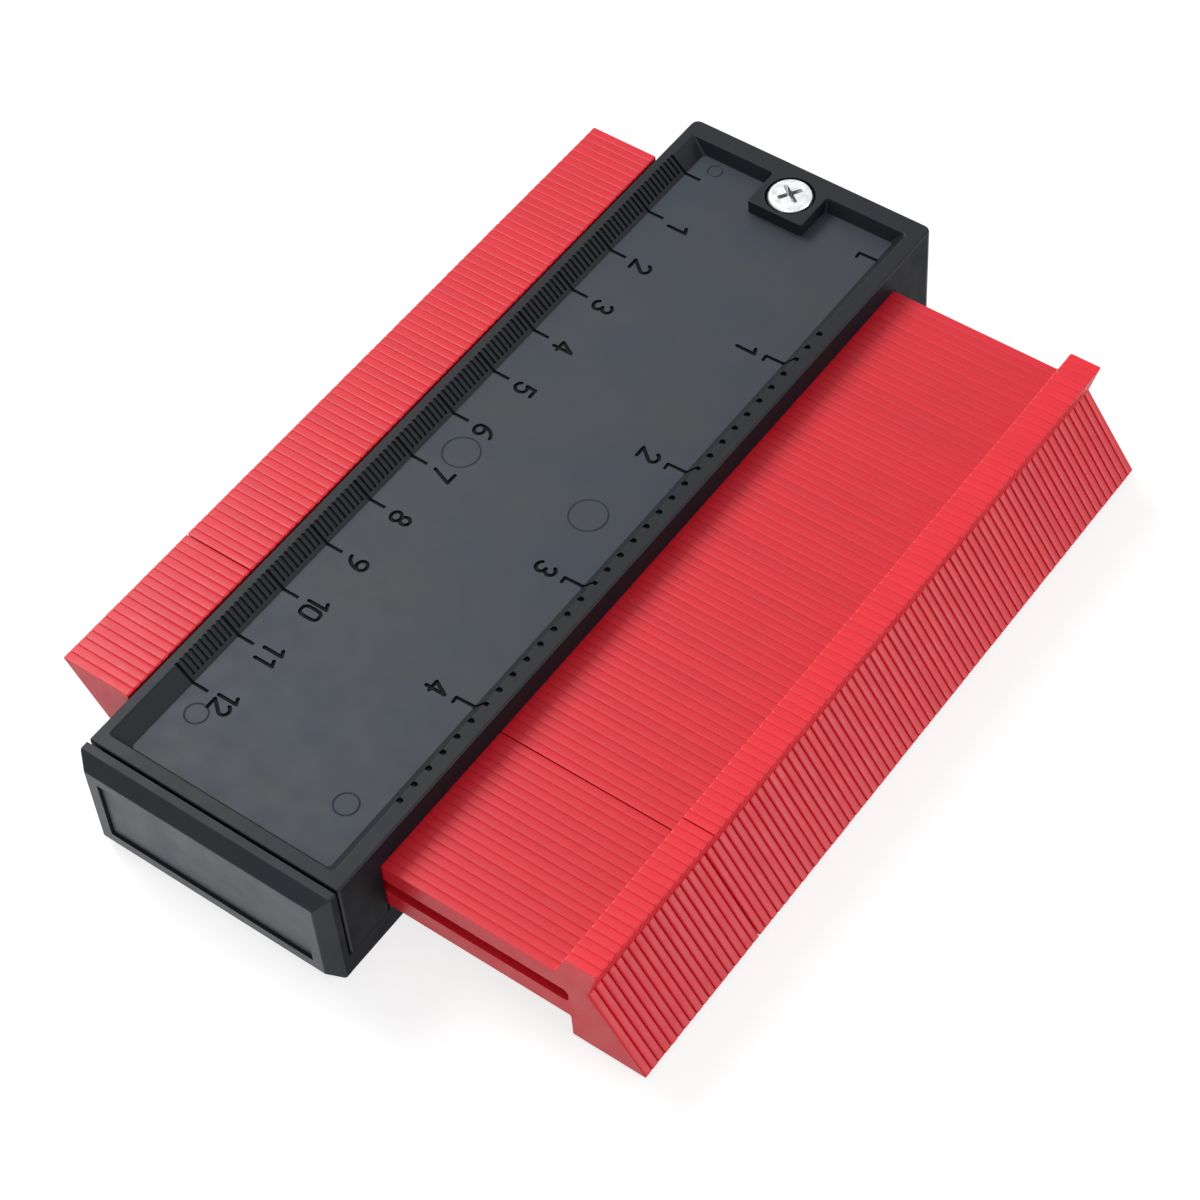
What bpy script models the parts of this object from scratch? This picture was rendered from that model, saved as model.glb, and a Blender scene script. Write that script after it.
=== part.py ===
"""Contour gauge: a two-part moulded body that holds a stack of sliding leaves.

All sizes are in metres. X is the way the leaves slide, Y runs along the body and Z is up.
The origin is the centre of the gauge's footprint, on the surface it rests on, with every
leaf pushed towards +X until its left head meets the body.

The cover carries the ruled recess, the screw boss and two end blocks. The base carries the
bevelled end wall and two posts. The guide bar lies on the posts, inside the blocks, and runs
through the slot of every leaf. One screw at the far end draws the cover, the bar and the base
together, and two tabs hold the cover's near end in the end wall.
"""

import math

import bmesh
import bpy
from mathutils import Vector

# Leaves
LEAF_COUNT = 85
LEAF_PITCH = 0.00149
LEAF_GAP = 0.00006
LEAVES_PER_BLADE = 2
LEAF_LENGTH = 0.1004
BAR_HEIGHT = 0.0096
HEAD_LENGTH = 0.01227
SLOT_END_WALL = 0.0036
NOTCH_RISE = 0.0038
RIDGE_WIDTH = 0.0052
RIDGE_OVERHANG = 0.0016
RIDGE_FOOT = 0.0018
GROOVE_DEPTH = 0.00018
GROOVE_HALF_WIDTH = 0.00010

# Body
BODY_WIDTH = 0.04447
BASE_PLATE = 0.0017
DECK_RISE = 0.0011
COVER_PLATE = 0.0020
RECESS_DEPTH = 0.00247
NEAR_BLOCK = 0.0082
END_WALL_SIDE = 0.0011
END_WALL_BEVEL = 0.0019
COVER_CORNER_RADIUS = 0.0012
EDGE_CHAMFER = 0.00035

# Ruled recess in the cover
RULE_RIM = 0.00175
RULE_SLOPE_RUN = 0.0025
DOT_RIM = 0.0026
DOT_SLOPE_RUN = 0.0020
NEAR_RIM = 0.0022
NEAR_SLOPE_RUN = 0.0011
FAR_RIM = 0.0033
FAR_SLOPE_RUN = 0.0007
RECESS_CORNER_RADIUS = 0.0006

# Front panel of the end wall and the recess under the base
PANEL_FRAME = 0.0019
PANEL_DEPTH = 0.0005
PANEL_DRAFT = 0.0002
UNDERSIDE_DEPTH = 0.0024
UNDERSIDE_RIM = 0.0030
UNDERSIDE_SLOPE_RUN = 0.0016

# Screw, its boss and the guide bar
BOSS_SIDE_WALL = 0.0012
BOSS_NEAR_WALL = 0.00065
SCREW_FROM_FAR_END = 0.0061
SCREW_TO_LEAVES = 0.0041
SCREW_SHANK_RADIUS = 0.0015
SCREW_HEAD_RADIUS = 0.00355
SCREW_HEAD_HEIGHT = 0.0021
SCREW_HEAD_EDGE = 0.0010
SCREW_CROSS_LENGTH = 0.0038
SCREW_CROSS_WIDTH = 0.0009
SCREW_CROSS_DEPTH = 0.0013
COUNTERBORE_DEPTH = 0.0020
GUIDE_WIDTH = 0.0160
GUIDE_THICKNESS = 0.0021
GUIDE_CORNER_RADIUS = 0.0015
PEG_RADIUS = 0.0012
PEG_SINK = 0.0005
PEG_FROM_GUIDE_END = 0.0030
PILOT_FLOOR = 0.0012

# Walls, tabs and clearances
BLOCK_WALL = 0.0020
BLOCK_RIB = 0.0016
TAB_WIDTH = 0.0060
TAB_THICKNESS = 0.0012
TAB_LIFT = 0.0012
TAB_REACH = 0.0013
TAB_SPACING = 0.0240
SEAM_GAP = 0.0007
PARTING_GAP = 0.0003
FIT_GAP = 0.0003
WINDOW_GAP = 0.0002
SLOT_GAP = 0.00027
STACK_GAP = 0.0003
HEAD_STOP_GAP = 0.00033
TIP_LIFT = 0.00065
BORE_GAP = 0.0003
CUT_MARGIN = 0.0010

# Facets
ARC_STEPS = 4
ROUND_STEPS = 24

# Heights
BASE_TOP = UNDERSIDE_DEPTH + BASE_PLATE
DECK_TOP = BASE_TOP + DECK_RISE
COVER_BOTTOM = BASE_TOP + PARTING_GAP
WINDOW_TOP = DECK_TOP + BAR_HEIGHT + 2 * WINDOW_GAP
LEAF_MID_Z = (DECK_TOP + WINDOW_TOP) / 2
LEAF_HEIGHT = 2 * (LEAF_MID_Z - TIP_LIFT)
SLOT_HEIGHT = GUIDE_THICKNESS + 2 * SLOT_GAP
FLOOR_Z = WINDOW_TOP + COVER_PLATE
RIM_Z = FLOOR_Z + RECESS_DEPTH
GUIDE_BOTTOM = LEAF_MID_Z - GUIDE_THICKNESS / 2
GUIDE_TOP = LEAF_MID_Z + GUIDE_THICKNESS / 2
TAB_BOTTOM = COVER_BOTTOM + TAB_LIFT

# Places along Y
END_WALL = END_WALL_SIDE + END_WALL_BEVEL
FAR_BLOCK = SCREW_FROM_FAR_END + SCREW_TO_LEAVES
STACK_LENGTH = LEAF_COUNT * LEAF_PITCH
COVER_LENGTH = NEAR_BLOCK + STACK_LENGTH + 2 * STACK_GAP + FAR_BLOCK
BODY_LENGTH = END_WALL + SEAM_GAP + COVER_LENGTH
NEAR_END = -BODY_LENGTH / 2
FAR_END = BODY_LENGTH / 2
WALL_BACK = NEAR_END + END_WALL
COVER_NEAR = WALL_BACK + SEAM_GAP
NEAR_BLOCK_FACE = COVER_NEAR + NEAR_BLOCK
FAR_BLOCK_FACE = FAR_END - FAR_BLOCK
STACK_NEAR = NEAR_BLOCK_FACE + STACK_GAP
SCREW_Y = FAR_END - SCREW_FROM_FAR_END
COUNTERBORE_RADIUS = SCREW_HEAD_RADIUS + BORE_GAP
BOSS_NEAR = SCREW_Y - COUNTERBORE_RADIUS - BOSS_NEAR_WALL
GUIDE_NEAR = COVER_NEAR + BLOCK_WALL + FIT_GAP
GUIDE_FAR = FAR_END - BLOCK_WALL - FIT_GAP
PEG_Y = GUIDE_NEAR + PEG_FROM_GUIDE_END

# Places along X: the leaves' centre is the origin, the body's centre lies to its left
STEP_X = LEAF_LENGTH / 2 - HEAD_LENGTH
NOTCH_X = STEP_X + RIDGE_WIDTH - RIDGE_OVERHANG
BODY_X = -(STEP_X - HEAD_STOP_GAP - BODY_WIDTH / 2)
BODY_LEFT = BODY_X - BODY_WIDTH / 2
BODY_RIGHT = BODY_X + BODY_WIDTH / 2
BOSS_HALF_WIDTH = COUNTERBORE_RADIUS + BOSS_SIDE_WALL


def plastic(name, colour, roughness):
    """A moulded plastic of one colour."""
    return surface(name, colour, roughness, 0.0)


def metal(name, colour, roughness):
    """A bare or plated metal."""
    return surface(name, colour, roughness, 1.0)


def surface(name, colour, roughness, metallic):
    """A Principled BSDF with the given colour, roughness and metallic value."""
    material = bpy.data.materials.new(name)
    material.use_nodes = True
    shader = material.node_tree.nodes["Principled BSDF"]
    shader.inputs["Base Color"].default_value = (*colour, 1.0)
    shader.inputs["Roughness"].default_value = roughness
    shader.inputs["Metallic"].default_value = metallic
    return material


def arc(centre, radius, start, stop, steps):
    """Points of a circular arc about centre, from angle start to angle stop."""
    points = []
    for i in range(steps + 1):
        angle = start + (stop - start) * i / steps
        points.append((centre[0] + radius * math.cos(angle), centre[1] + radius * math.sin(angle)))
    return points


def circle(centre, radius):
    """Points of a full circle, anticlockwise."""
    return arc(centre, radius, 0.0, 2 * math.pi, ROUND_STEPS)[:-1]


def rounded_rectangle(left, right, near, far, near_radius, far_radius):
    """An anticlockwise rectangle whose near and far corners have their own radii."""
    quarter = math.pi / 2
    corners = (
        (right, near, -1, 1, near_radius, -quarter),
        (right, far, -1, -1, far_radius, 0.0),
        (left, far, 1, -1, far_radius, quarter),
        (left, near, 1, 1, near_radius, 2 * quarter),
    )
    points = []
    for x, y, inward_x, inward_y, radius, start in corners:
        if radius == 0.0:
            points.append((x, y))
            continue
        centre = (x + inward_x * radius, y + inward_y * radius)
        points.extend(arc(centre, radius, start, start + quarter, ARC_STEPS))
    return points


def inset(outline, distance):
    """The outline with every side moved inwards by distance and the corners mitred."""
    count = len(outline)
    moved = []
    for i in range(count):
        before = Vector(outline[i - 1])
        here = Vector(outline[i])
        after = Vector(outline[(i + 1) % count])
        side_in = (here - before).normalized()
        side_out = (after - here).normalized()
        normal_in = Vector((-side_in.y, side_in.x))
        normal_out = Vector((-side_out.y, side_out.x))
        bisector = (normal_in + normal_out).normalized()
        reach = distance / bisector.dot(normal_in)
        moved.append(tuple(here + bisector * reach))
    return moved


def at_height(outline, z):
    """An outline in X and Y, laid flat at height z."""
    return [(x, y, z) for x, y in outline]


def at_length(outline, y):
    """An outline in X and Z, stood up at y along the body."""
    return [(x, y, z) for x, z in outline]


def mesh_object(name, bm, material):
    """Turn a bmesh into a named object whose faces point outwards."""
    bmesh.ops.recalc_face_normals(bm, faces=bm.faces)
    mesh = bpy.data.meshes.new(name)
    bm.to_mesh(mesh)
    bm.free()
    mesh.materials.append(material)
    thing = bpy.data.objects.new(name, mesh)
    bpy.context.scene.collection.objects.link(thing)
    return thing


def skin(bm, rings):
    """Join each ring of points to the next with quads, and return the rings of vertices."""
    loops = [[bm.verts.new(point) for point in ring] for ring in rings]
    for lower, upper in zip(loops, loops[1:]):
        for i in range(len(lower)):
            j = (i + 1) % len(lower)
            bm.faces.new((lower[i], lower[j], upper[j], upper[i]))
    return loops


def loft(name, rings, material):
    """A closed solid through rings of equal point counts, with flat ends."""
    bm = bmesh.new()
    loops = skin(bm, rings)
    bm.faces.new(loops[0])
    bm.faces.new(loops[-1])
    return mesh_object(name, bm, material)


def block(name, x, y, z, material):
    """A rectangular solid between the (low, high) pairs x, y and z."""
    outline = rounded_rectangle(x[0], x[1], y[0], y[1], 0.0, 0.0)
    return loft(name, [at_height(outline, z[0]), at_height(outline, z[1])], material)


def cylinder(name, centre, radius, z, material):
    """An upright round solid between the heights z."""
    outline = circle(centre, radius)
    return loft(name, [at_height(outline, z[0]), at_height(outline, z[1])], material)


def combine(target, tool, operation):
    """Cut tool out of target, or join it on, and leave tool as a hidden guide."""
    modifier = target.modifiers.new(tool.name, "BOOLEAN")
    modifier.operation = operation
    modifier.solver = "EXACT"
    modifier.object = tool
    tool.display_type = "WIRE"
    tool.hide_render = True


def smooth(thing, degrees):
    """Shade an object smooth except across edges sharper than the given angle."""
    thing.data.shade_smooth()
    thing.data.set_sharp_from_angle(angle=math.radians(degrees))


def leaf_outline():
    """One leaf seen along Y: a bar with the same pointed head at both ends, half a turn apart.

    The right head has its tip at the bottom, a slanted front up to a notch, and a ridge on top
    that overhangs the notch and spreads at its foot. The left head is the same the other way
    up, but its ridge has an upright inner face that meets the body with the step above it.
    """
    half_length = LEAF_LENGTH / 2
    half_height = LEAF_HEIGHT / 2
    half_bar = BAR_HEIGHT / 2
    ridge_outer = STEP_X + RIDGE_WIDTH
    points = [
        (STEP_X, -half_bar),
        (STEP_X, -half_height),
        (half_length, -half_height),
        (NOTCH_X, NOTCH_RISE),
        (ridge_outer, half_height),
        (STEP_X, half_height),
        (STEP_X - RIDGE_FOOT, half_bar),
        (-STEP_X, half_bar),
        (-STEP_X, half_height),
        (-half_length, half_height),
        (-NOTCH_X, -NOTCH_RISE),
        (-ridge_outer, -half_height),
        (-STEP_X, -half_height),
        (-STEP_X, -half_bar),
    ]
    return [(x, z + LEAF_MID_Z) for x, z in points]


def slot_outline():
    """The long slot through the middle of a leaf, seen along Y."""
    half_slot = SLOT_HEIGHT / 2
    end = NOTCH_X - SLOT_END_WALL
    return rounded_rectangle(-end, end, LEAF_MID_Z - half_slot, LEAF_MID_Z + half_slot, 0.0, 0.0)


def blade_mesh(leaves, material):
    """Leaves side by side from y = 0, with a small groove round the outline between neighbours."""
    outline = leaf_outline()
    waist = inset(outline, GROOVE_DEPTH)
    length = leaves * LEAF_PITCH - LEAF_GAP
    rings = [at_length(outline, 0.0)]
    for joint in range(1, leaves):
        y = joint * length / leaves
        rings.append(at_length(outline, y - GROOVE_HALF_WIDTH))
        rings.append(at_length(waist, y))
        rings.append(at_length(outline, y + GROOVE_HALF_WIDTH))
    rings.append(at_length(outline, length))
    bm = bmesh.new()
    outer = skin(bm, rings)
    slot = slot_outline()
    inner = skin(bm, [at_length(slot, 0.0), at_length(slot, length)])
    for loops in ((outer[0], inner[0]), (outer[-1], inner[-1])):
        edges = []
        for loop in loops:
            edges.extend(bm.edges.get((loop[i - 1], loop[i])) for i in range(len(loop)))
        bmesh.ops.triangle_fill(bm, use_beauty=True, use_dissolve=False, edges=edges)
    thing = mesh_object("blade_pattern", bm, material)
    mesh = thing.data
    bpy.data.objects.remove(thing)
    return mesh


def make_leaves(material):
    """All the leaves, in blades that each slide on their own."""
    patterns = {}
    placed = 0
    number = 0
    while placed < LEAF_COUNT:
        leaves = min(LEAVES_PER_BLADE, LEAF_COUNT - placed)
        if leaves not in patterns:
            patterns[leaves] = blade_mesh(leaves, material)
        number += 1
        blade = bpy.data.objects.new(f"leaf_blade_{number:02d}", patterns[leaves])
        blade.location = (0.0, STACK_NEAR + placed * LEAF_PITCH + LEAF_GAP / 2, 0.0)
        bpy.context.scene.collection.objects.link(blade)
        placed += leaves


def recess_outline(widen):
    """The recess in the cover, moved out from the floor's edge by widen of each wall's run."""
    left = BODY_LEFT + RULE_RIM + RULE_SLOPE_RUN * (1 - widen)
    right = BODY_RIGHT - DOT_RIM - DOT_SLOPE_RUN * (1 - widen)
    near = COVER_NEAR + NEAR_RIM + NEAR_SLOPE_RUN * (1 - widen)
    far = FAR_END - FAR_RIM - FAR_SLOPE_RUN * (1 - widen)
    radius = RECESS_CORNER_RADIUS
    outline = rounded_rectangle(left, right, near, far, radius, radius)
    far_right_end = 2 * (ARC_STEPS + 1)
    boss = [
        (BODY_X + BOSS_HALF_WIDTH, far),
        (BODY_X + BOSS_HALF_WIDTH, BOSS_NEAR),
        (BODY_X - BOSS_HALF_WIDTH, BOSS_NEAR),
        (BODY_X - BOSS_HALF_WIDTH, far),
    ]
    return outline[:far_right_end] + boss + outline[far_right_end:]


def cover_blank(material):
    """The cover's outer form: square near corners, rounded far corners and a chamfered top."""
    outline = rounded_rectangle(BODY_LEFT, BODY_RIGHT, COVER_NEAR, FAR_END, 0.0, COVER_CORNER_RADIUS)
    rings = [
        at_height(outline, COVER_BOTTOM),
        at_height(outline, RIM_Z - EDGE_CHAMFER),
        at_height(inset(outline, EDGE_CHAMFER), RIM_Z),
    ]
    return loft("top_cover", rings, material)


def cut_recess(cover, material):
    """Sink the ruled recess, with its four slopes, round the screw boss."""
    rings = [
        at_height(recess_outline(0.0), FLOOR_Z),
        at_height(recess_outline(1.0), RIM_Z),
        at_height(recess_outline(1.0), RIM_Z + CUT_MARGIN),
    ]
    combine(cover, loft("recess_cutter", rings, material), "DIFFERENCE")


def cut_leaf_passage(cover, material):
    """Open the cover from side to side between its two end blocks, for the stack of leaves."""
    passage = block(
        "passage_cutter",
        (BODY_LEFT - CUT_MARGIN, BODY_RIGHT + CUT_MARGIN),
        (NEAR_BLOCK_FACE, FAR_BLOCK_FACE),
        (BASE_TOP, WINDOW_TOP),
        material,
    )
    combine(cover, passage, "DIFFERENCE")


def cut_guide_seat(cover, name, y, material):
    """Open a block from below for the guide bar and the post under it."""
    half = GUIDE_WIDTH / 2 + FIT_GAP
    seat = block(
        name,
        (BODY_X - half, BODY_X + half),
        y,
        (BASE_TOP, GUIDE_TOP + FIT_GAP),
        material,
    )
    combine(cover, seat, "DIFFERENCE")


def cut_block_cores(cover, name, y, material):
    """Core out a block from below on both sides of the guide seat, so its walls stay thin."""
    inner = GUIDE_WIDTH / 2 + FIT_GAP + BLOCK_RIB
    outer = BODY_WIDTH / 2 - BLOCK_WALL
    for side in (-1, 1):
        x = sorted((BODY_X + side * inner, BODY_X + side * outer))
        core = block(f"{name}_{side}", x, y, (BASE_TOP, WINDOW_TOP), material)
        combine(cover, core, "DIFFERENCE")


def add_tabs(cover, material):
    """Two tabs on the cover's near end that hook into the end wall."""
    for side in (-1, 1):
        x = BODY_X + side * TAB_SPACING / 2
        tab = block(
            f"tab_{side}",
            (x - TAB_WIDTH / 2, x + TAB_WIDTH / 2),
            (WALL_BACK - TAB_REACH, COVER_NEAR + BLOCK_WALL / 2),
            (TAB_BOTTOM, TAB_BOTTOM + TAB_THICKNESS),
            material,
        )
        combine(cover, tab, "UNION")


def cut_screw_hole(cover, material):
    """Counterbore the boss for the screw's head and drill through to the guide seat."""
    centre = (BODY_X, SCREW_Y)
    seat_z = RIM_Z - COUNTERBORE_DEPTH
    head = cylinder("counterbore_cutter", centre, COUNTERBORE_RADIUS, (seat_z, RIM_Z + CUT_MARGIN), material)
    shank = cylinder(
        "screw_hole_cutter", centre, SCREW_SHANK_RADIUS + BORE_GAP, (GUIDE_TOP, RIM_Z), material
    )
    combine(cover, head, "DIFFERENCE")
    combine(cover, shank, "DIFFERENCE")


def make_cover(material):
    """The upper moulding: plate, rim, boss, two blocks and two tabs."""
    cover = cover_blank(material)
    cut_recess(cover, material)
    cut_leaf_passage(cover, material)
    cut_guide_seat(cover, "near_seat_cutter", (COVER_NEAR + BLOCK_WALL, NEAR_BLOCK_FACE + CUT_MARGIN), material)
    cut_guide_seat(cover, "far_seat_cutter", (FAR_BLOCK_FACE - CUT_MARGIN, GUIDE_FAR + FIT_GAP), material)
    near_core = (COVER_NEAR + BLOCK_WALL, NEAR_BLOCK_FACE - BLOCK_WALL)
    far_core = (FAR_BLOCK_FACE + BLOCK_WALL, FAR_END - BLOCK_WALL)
    cut_block_cores(cover, "near_core_cutter", near_core, material)
    cut_block_cores(cover, "far_core_cutter", far_core, material)
    cut_screw_hole(cover, material)
    add_tabs(cover, material)
    return cover


def base_plate(material):
    """The lower plate, with the cover's outline and a chamfer round its foot."""
    near = WALL_BACK - END_WALL_SIDE / 2
    outline = rounded_rectangle(BODY_LEFT, BODY_RIGHT, near, FAR_END, 0.0, COVER_CORNER_RADIUS)
    rings = [
        at_height(inset(outline, EDGE_CHAMFER), 0.0),
        at_height(outline, EDGE_CHAMFER),
        at_height(outline, BASE_TOP),
    ]
    return loft("base_tray", rings, material)


def add_end_wall(base, material):
    """The wall across the near end, bevelled on all four sides of its front."""
    outline = rounded_rectangle(BODY_LEFT, BODY_RIGHT, 0.0, RIM_Z, 0.0, 0.0)
    rings = [
        at_length(outline, WALL_BACK),
        at_length(outline, NEAR_END + END_WALL_BEVEL),
        at_length(inset(outline, END_WALL_BEVEL), NEAR_END),
    ]
    combine(base, loft("end_wall", rings, material), "UNION")


def cut_front_panel(base, material):
    """Sink a shallow panel into the end wall's front, inside a narrow frame."""
    margin = END_WALL_BEVEL + PANEL_FRAME
    outline = rounded_rectangle(BODY_LEFT, BODY_RIGHT, 0.0, RIM_Z, 0.0, 0.0)
    mouth = inset(outline, margin)
    rings = [
        at_length(mouth, NEAR_END - CUT_MARGIN),
        at_length(mouth, NEAR_END),
        at_length(inset(mouth, PANEL_DRAFT), NEAR_END + PANEL_DEPTH),
    ]
    combine(base, loft("panel_cutter", rings, material), "DIFFERENCE")


def underside_outline(distance):
    """The recess under the base, with its sides moved in from the base's edge by distance."""
    return rounded_rectangle(
        BODY_LEFT + distance,
        BODY_RIGHT - distance,
        WALL_BACK + distance,
        FAR_END - distance,
        RECESS_CORNER_RADIUS,
        RECESS_CORNER_RADIUS,
    )


def cut_underside(base, material):
    """Sink the plain recess under the base, so the gauge stands on a rim."""
    rings = [
        at_height(underside_outline(UNDERSIDE_RIM), -CUT_MARGIN),
        at_height(underside_outline(UNDERSIDE_RIM), 0.0),
        at_height(underside_outline(UNDERSIDE_RIM + UNDERSIDE_SLOPE_RUN), UNDERSIDE_DEPTH),
    ]
    combine(base, loft("underside_cutter", rings, material), "DIFFERENCE")


def add_deck(base, material):
    """The raised deck that the leaves slide on, between the cover's blocks."""
    deck = block(
        "deck",
        (BODY_LEFT, BODY_RIGHT),
        (NEAR_BLOCK_FACE + FIT_GAP, FAR_BLOCK_FACE - FIT_GAP),
        (BASE_TOP - BASE_PLATE / 2, DECK_TOP),
        material,
    )
    combine(base, deck, "UNION")


def add_post(base, name, y, material):
    """A post under one end of the guide bar, with a gap to the seat all round."""
    half = GUIDE_WIDTH / 2
    z = (BASE_TOP - BASE_PLATE / 2, GUIDE_BOTTOM - FIT_GAP)
    combine(base, block(name, (BODY_X - half, BODY_X + half), y, z, material), "UNION")


def cut_tab_pockets(base, material):
    """Pockets in the back of the end wall for the cover's tabs."""
    for side in (-1, 1):
        x = BODY_X + side * TAB_SPACING / 2
        pocket = block(
            f"tab_pocket_{side}",
            (x - TAB_WIDTH / 2 - FIT_GAP, x + TAB_WIDTH / 2 + FIT_GAP),
            (WALL_BACK - TAB_REACH - FIT_GAP, WALL_BACK + CUT_MARGIN),
            (TAB_BOTTOM - FIT_GAP, TAB_BOTTOM + TAB_THICKNESS + FIT_GAP),
            material,
        )
        combine(base, pocket, "DIFFERENCE")


def make_base(material):
    """The lower moulding: plate, bevelled end wall, deck, two posts and a locating peg."""
    base = base_plate(material)
    add_end_wall(base, material)
    cut_front_panel(base, material)
    cut_underside(base, material)
    add_deck(base, material)
    add_post(base, "near_post", (GUIDE_NEAR, NEAR_BLOCK_FACE), material)
    add_post(base, "far_post", (FAR_BLOCK_FACE, GUIDE_FAR), material)
    peg = cylinder("peg", (BODY_X, PEG_Y), PEG_RADIUS, (BASE_TOP, GUIDE_TOP - PEG_SINK), material)
    combine(base, peg, "UNION")
    pilot = cylinder(
        "pilot_cutter",
        (BODY_X, SCREW_Y),
        SCREW_SHANK_RADIUS + BORE_GAP,
        (UNDERSIDE_DEPTH + PILOT_FLOOR, GUIDE_BOTTOM),
        material,
    )
    combine(base, pilot, "DIFFERENCE")
    cut_tab_pockets(base, material)
    return base


def make_guide_bar(material):
    """The flat bar through the leaves' slots, with a hole for the screw and one for the peg."""
    left = BODY_X - GUIDE_WIDTH / 2
    right = BODY_X + GUIDE_WIDTH / 2
    radius = GUIDE_CORNER_RADIUS
    outline = rounded_rectangle(left, right, GUIDE_NEAR, GUIDE_FAR, radius, radius)
    rings = [at_height(outline, GUIDE_BOTTOM), at_height(outline, GUIDE_TOP)]
    bar = loft("guide_bar", rings, material)
    reach = (GUIDE_BOTTOM - CUT_MARGIN, GUIDE_TOP + CUT_MARGIN)
    holes = (
        ("bar_screw_hole", SCREW_Y, SCREW_SHANK_RADIUS + BORE_GAP),
        ("bar_peg_hole", PEG_Y, PEG_RADIUS + BORE_GAP),
    )
    for name, y, radius in holes:
        combine(bar, cylinder(name, (BODY_X, y), radius, reach, material), "DIFFERENCE")
    return bar


def cross_outline(length, width):
    """A plus sign, anticlockwise, for the driver's recess."""
    a = length / 2
    b = width / 2
    arm = [(a, -b), (a, b), (b, b)]
    points = []
    for quarter in range(4):
        turn = quarter * math.pi / 2
        for x, y in arm:
            points.append(
                (
                    BODY_X + x * math.cos(turn) - y * math.sin(turn),
                    SCREW_Y + x * math.sin(turn) + y * math.cos(turn),
                )
            )
    return points


def make_screw(material):
    """The pan-head screw: a domed head with a cross recess, on a plain round shank."""
    centre = (BODY_X, SCREW_Y)
    head_bottom = RIM_Z - COUNTERBORE_DEPTH + FIT_GAP
    head_top = head_bottom + SCREW_HEAD_HEIGHT
    tip = UNDERSIDE_DEPTH + PILOT_FLOOR + FIT_GAP
    taper = SCREW_SHANK_RADIUS / 3
    rings = [
        at_height(circle(centre, SCREW_SHANK_RADIUS - taper), tip),
        at_height(circle(centre, SCREW_SHANK_RADIUS), tip + taper),
        at_height(circle(centre, SCREW_SHANK_RADIUS), head_bottom),
        at_height(circle(centre, SCREW_HEAD_RADIUS), head_bottom),
    ]
    dome = SCREW_HEAD_HEIGHT - SCREW_HEAD_EDGE
    for step in range(ARC_STEPS):
        angle = math.pi / 2 * step / ARC_STEPS
        radius = SCREW_HEAD_RADIUS - dome * (1 - math.cos(angle))
        rings.append(at_height(circle(centre, radius), head_bottom + SCREW_HEAD_EDGE + dome * math.sin(angle)))
    rings.append(at_height(circle(centre, SCREW_HEAD_RADIUS - dome), head_top))
    screw = loft("cover_screw", rings, material)
    floor = head_top - SCREW_CROSS_DEPTH
    cross = [
        at_height(cross_outline(SCREW_CROSS_LENGTH / 2, SCREW_CROSS_WIDTH / 2), floor),
        at_height(cross_outline(SCREW_CROSS_LENGTH, SCREW_CROSS_WIDTH), head_top),
        at_height(cross_outline(SCREW_CROSS_LENGTH, SCREW_CROSS_WIDTH), head_top + CUT_MARGIN),
    ]
    combine(screw, loft("cross_cutter", cross, material), "DIFFERENCE")
    smooth(screw, 35)
    return screw


def clear_scene():
    """Start from an empty scene."""
    for thing in list(bpy.data.objects):
        bpy.data.objects.remove(thing)


def main():
    """Model every piece of the gauge."""
    clear_scene()
    make_cover(plastic("black_cover_plastic", (0.030, 0.031, 0.035), 0.45))
    make_base(plastic("black_base_plastic", (0.028, 0.029, 0.033), 0.45))
    make_guide_bar(plastic("black_guide_plastic", (0.035, 0.035, 0.038), 0.40))
    make_screw(metal("zinc_plate", (0.72, 0.74, 0.76), 0.28))
    make_leaves(plastic("red_leaf_plastic", (0.72, 0.035, 0.045), 0.32))


main()
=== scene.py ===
"""Contour gauge: the finished surfaces, finishes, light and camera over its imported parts.

Lengths in this file are millimetres. A piece is brought to metres when its mesh is made.
"""

import logging
import math
from collections.abc import Iterable, Sequence
from dataclasses import dataclass, field
from enum import Enum, IntEnum

import bmesh
import bpy
import numpy as np
from mathutils import Matrix, Vector
from mathutils.geometry import tessellate_polygon


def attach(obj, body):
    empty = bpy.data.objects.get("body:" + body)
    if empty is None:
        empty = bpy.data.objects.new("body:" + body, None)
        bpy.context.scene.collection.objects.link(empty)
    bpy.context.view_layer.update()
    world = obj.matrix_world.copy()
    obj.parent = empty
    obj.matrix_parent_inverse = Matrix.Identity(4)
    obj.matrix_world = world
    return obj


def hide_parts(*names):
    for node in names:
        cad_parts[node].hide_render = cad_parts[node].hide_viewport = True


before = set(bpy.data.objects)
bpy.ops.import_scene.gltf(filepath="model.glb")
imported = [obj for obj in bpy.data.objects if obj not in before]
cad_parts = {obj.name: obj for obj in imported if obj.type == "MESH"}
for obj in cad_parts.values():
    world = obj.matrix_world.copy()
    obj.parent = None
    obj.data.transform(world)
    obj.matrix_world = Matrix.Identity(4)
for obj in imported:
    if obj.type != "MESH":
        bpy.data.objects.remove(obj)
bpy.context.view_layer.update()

METRE = 0.001
SEED = 27
LOG = logging.getLogger("contour_gauge")

# How far a tool reaches past the face that it opens, or a solid into the one that it joins, and
# how far it does where another face is near.
PAST = 1.0
JUST_PAST = 0.5
# How nearly a face looks one way, as a cosine, and how nearly it lies at one level.
FACING = 0.999
LEVEL_SLACK = 0.02
# Faces that meet at more than this many degrees keep a sharp edge between them.
SHARP_ANGLE = 40.0
# The angles, in degrees, of the stations of a stroke's round end.
ROUND_END = (30.0, 58.0, 80.0)
# The stations of a rounded edge: shares of its reach across the piece and into the outline.
EDGE_ARC = ((0.0, 1.0), (0.29, 0.29), (1.0, 0.0))
# The values that a noise texture mostly keeps between.
NOISE_RANGE = (0.3, 0.7)

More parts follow.
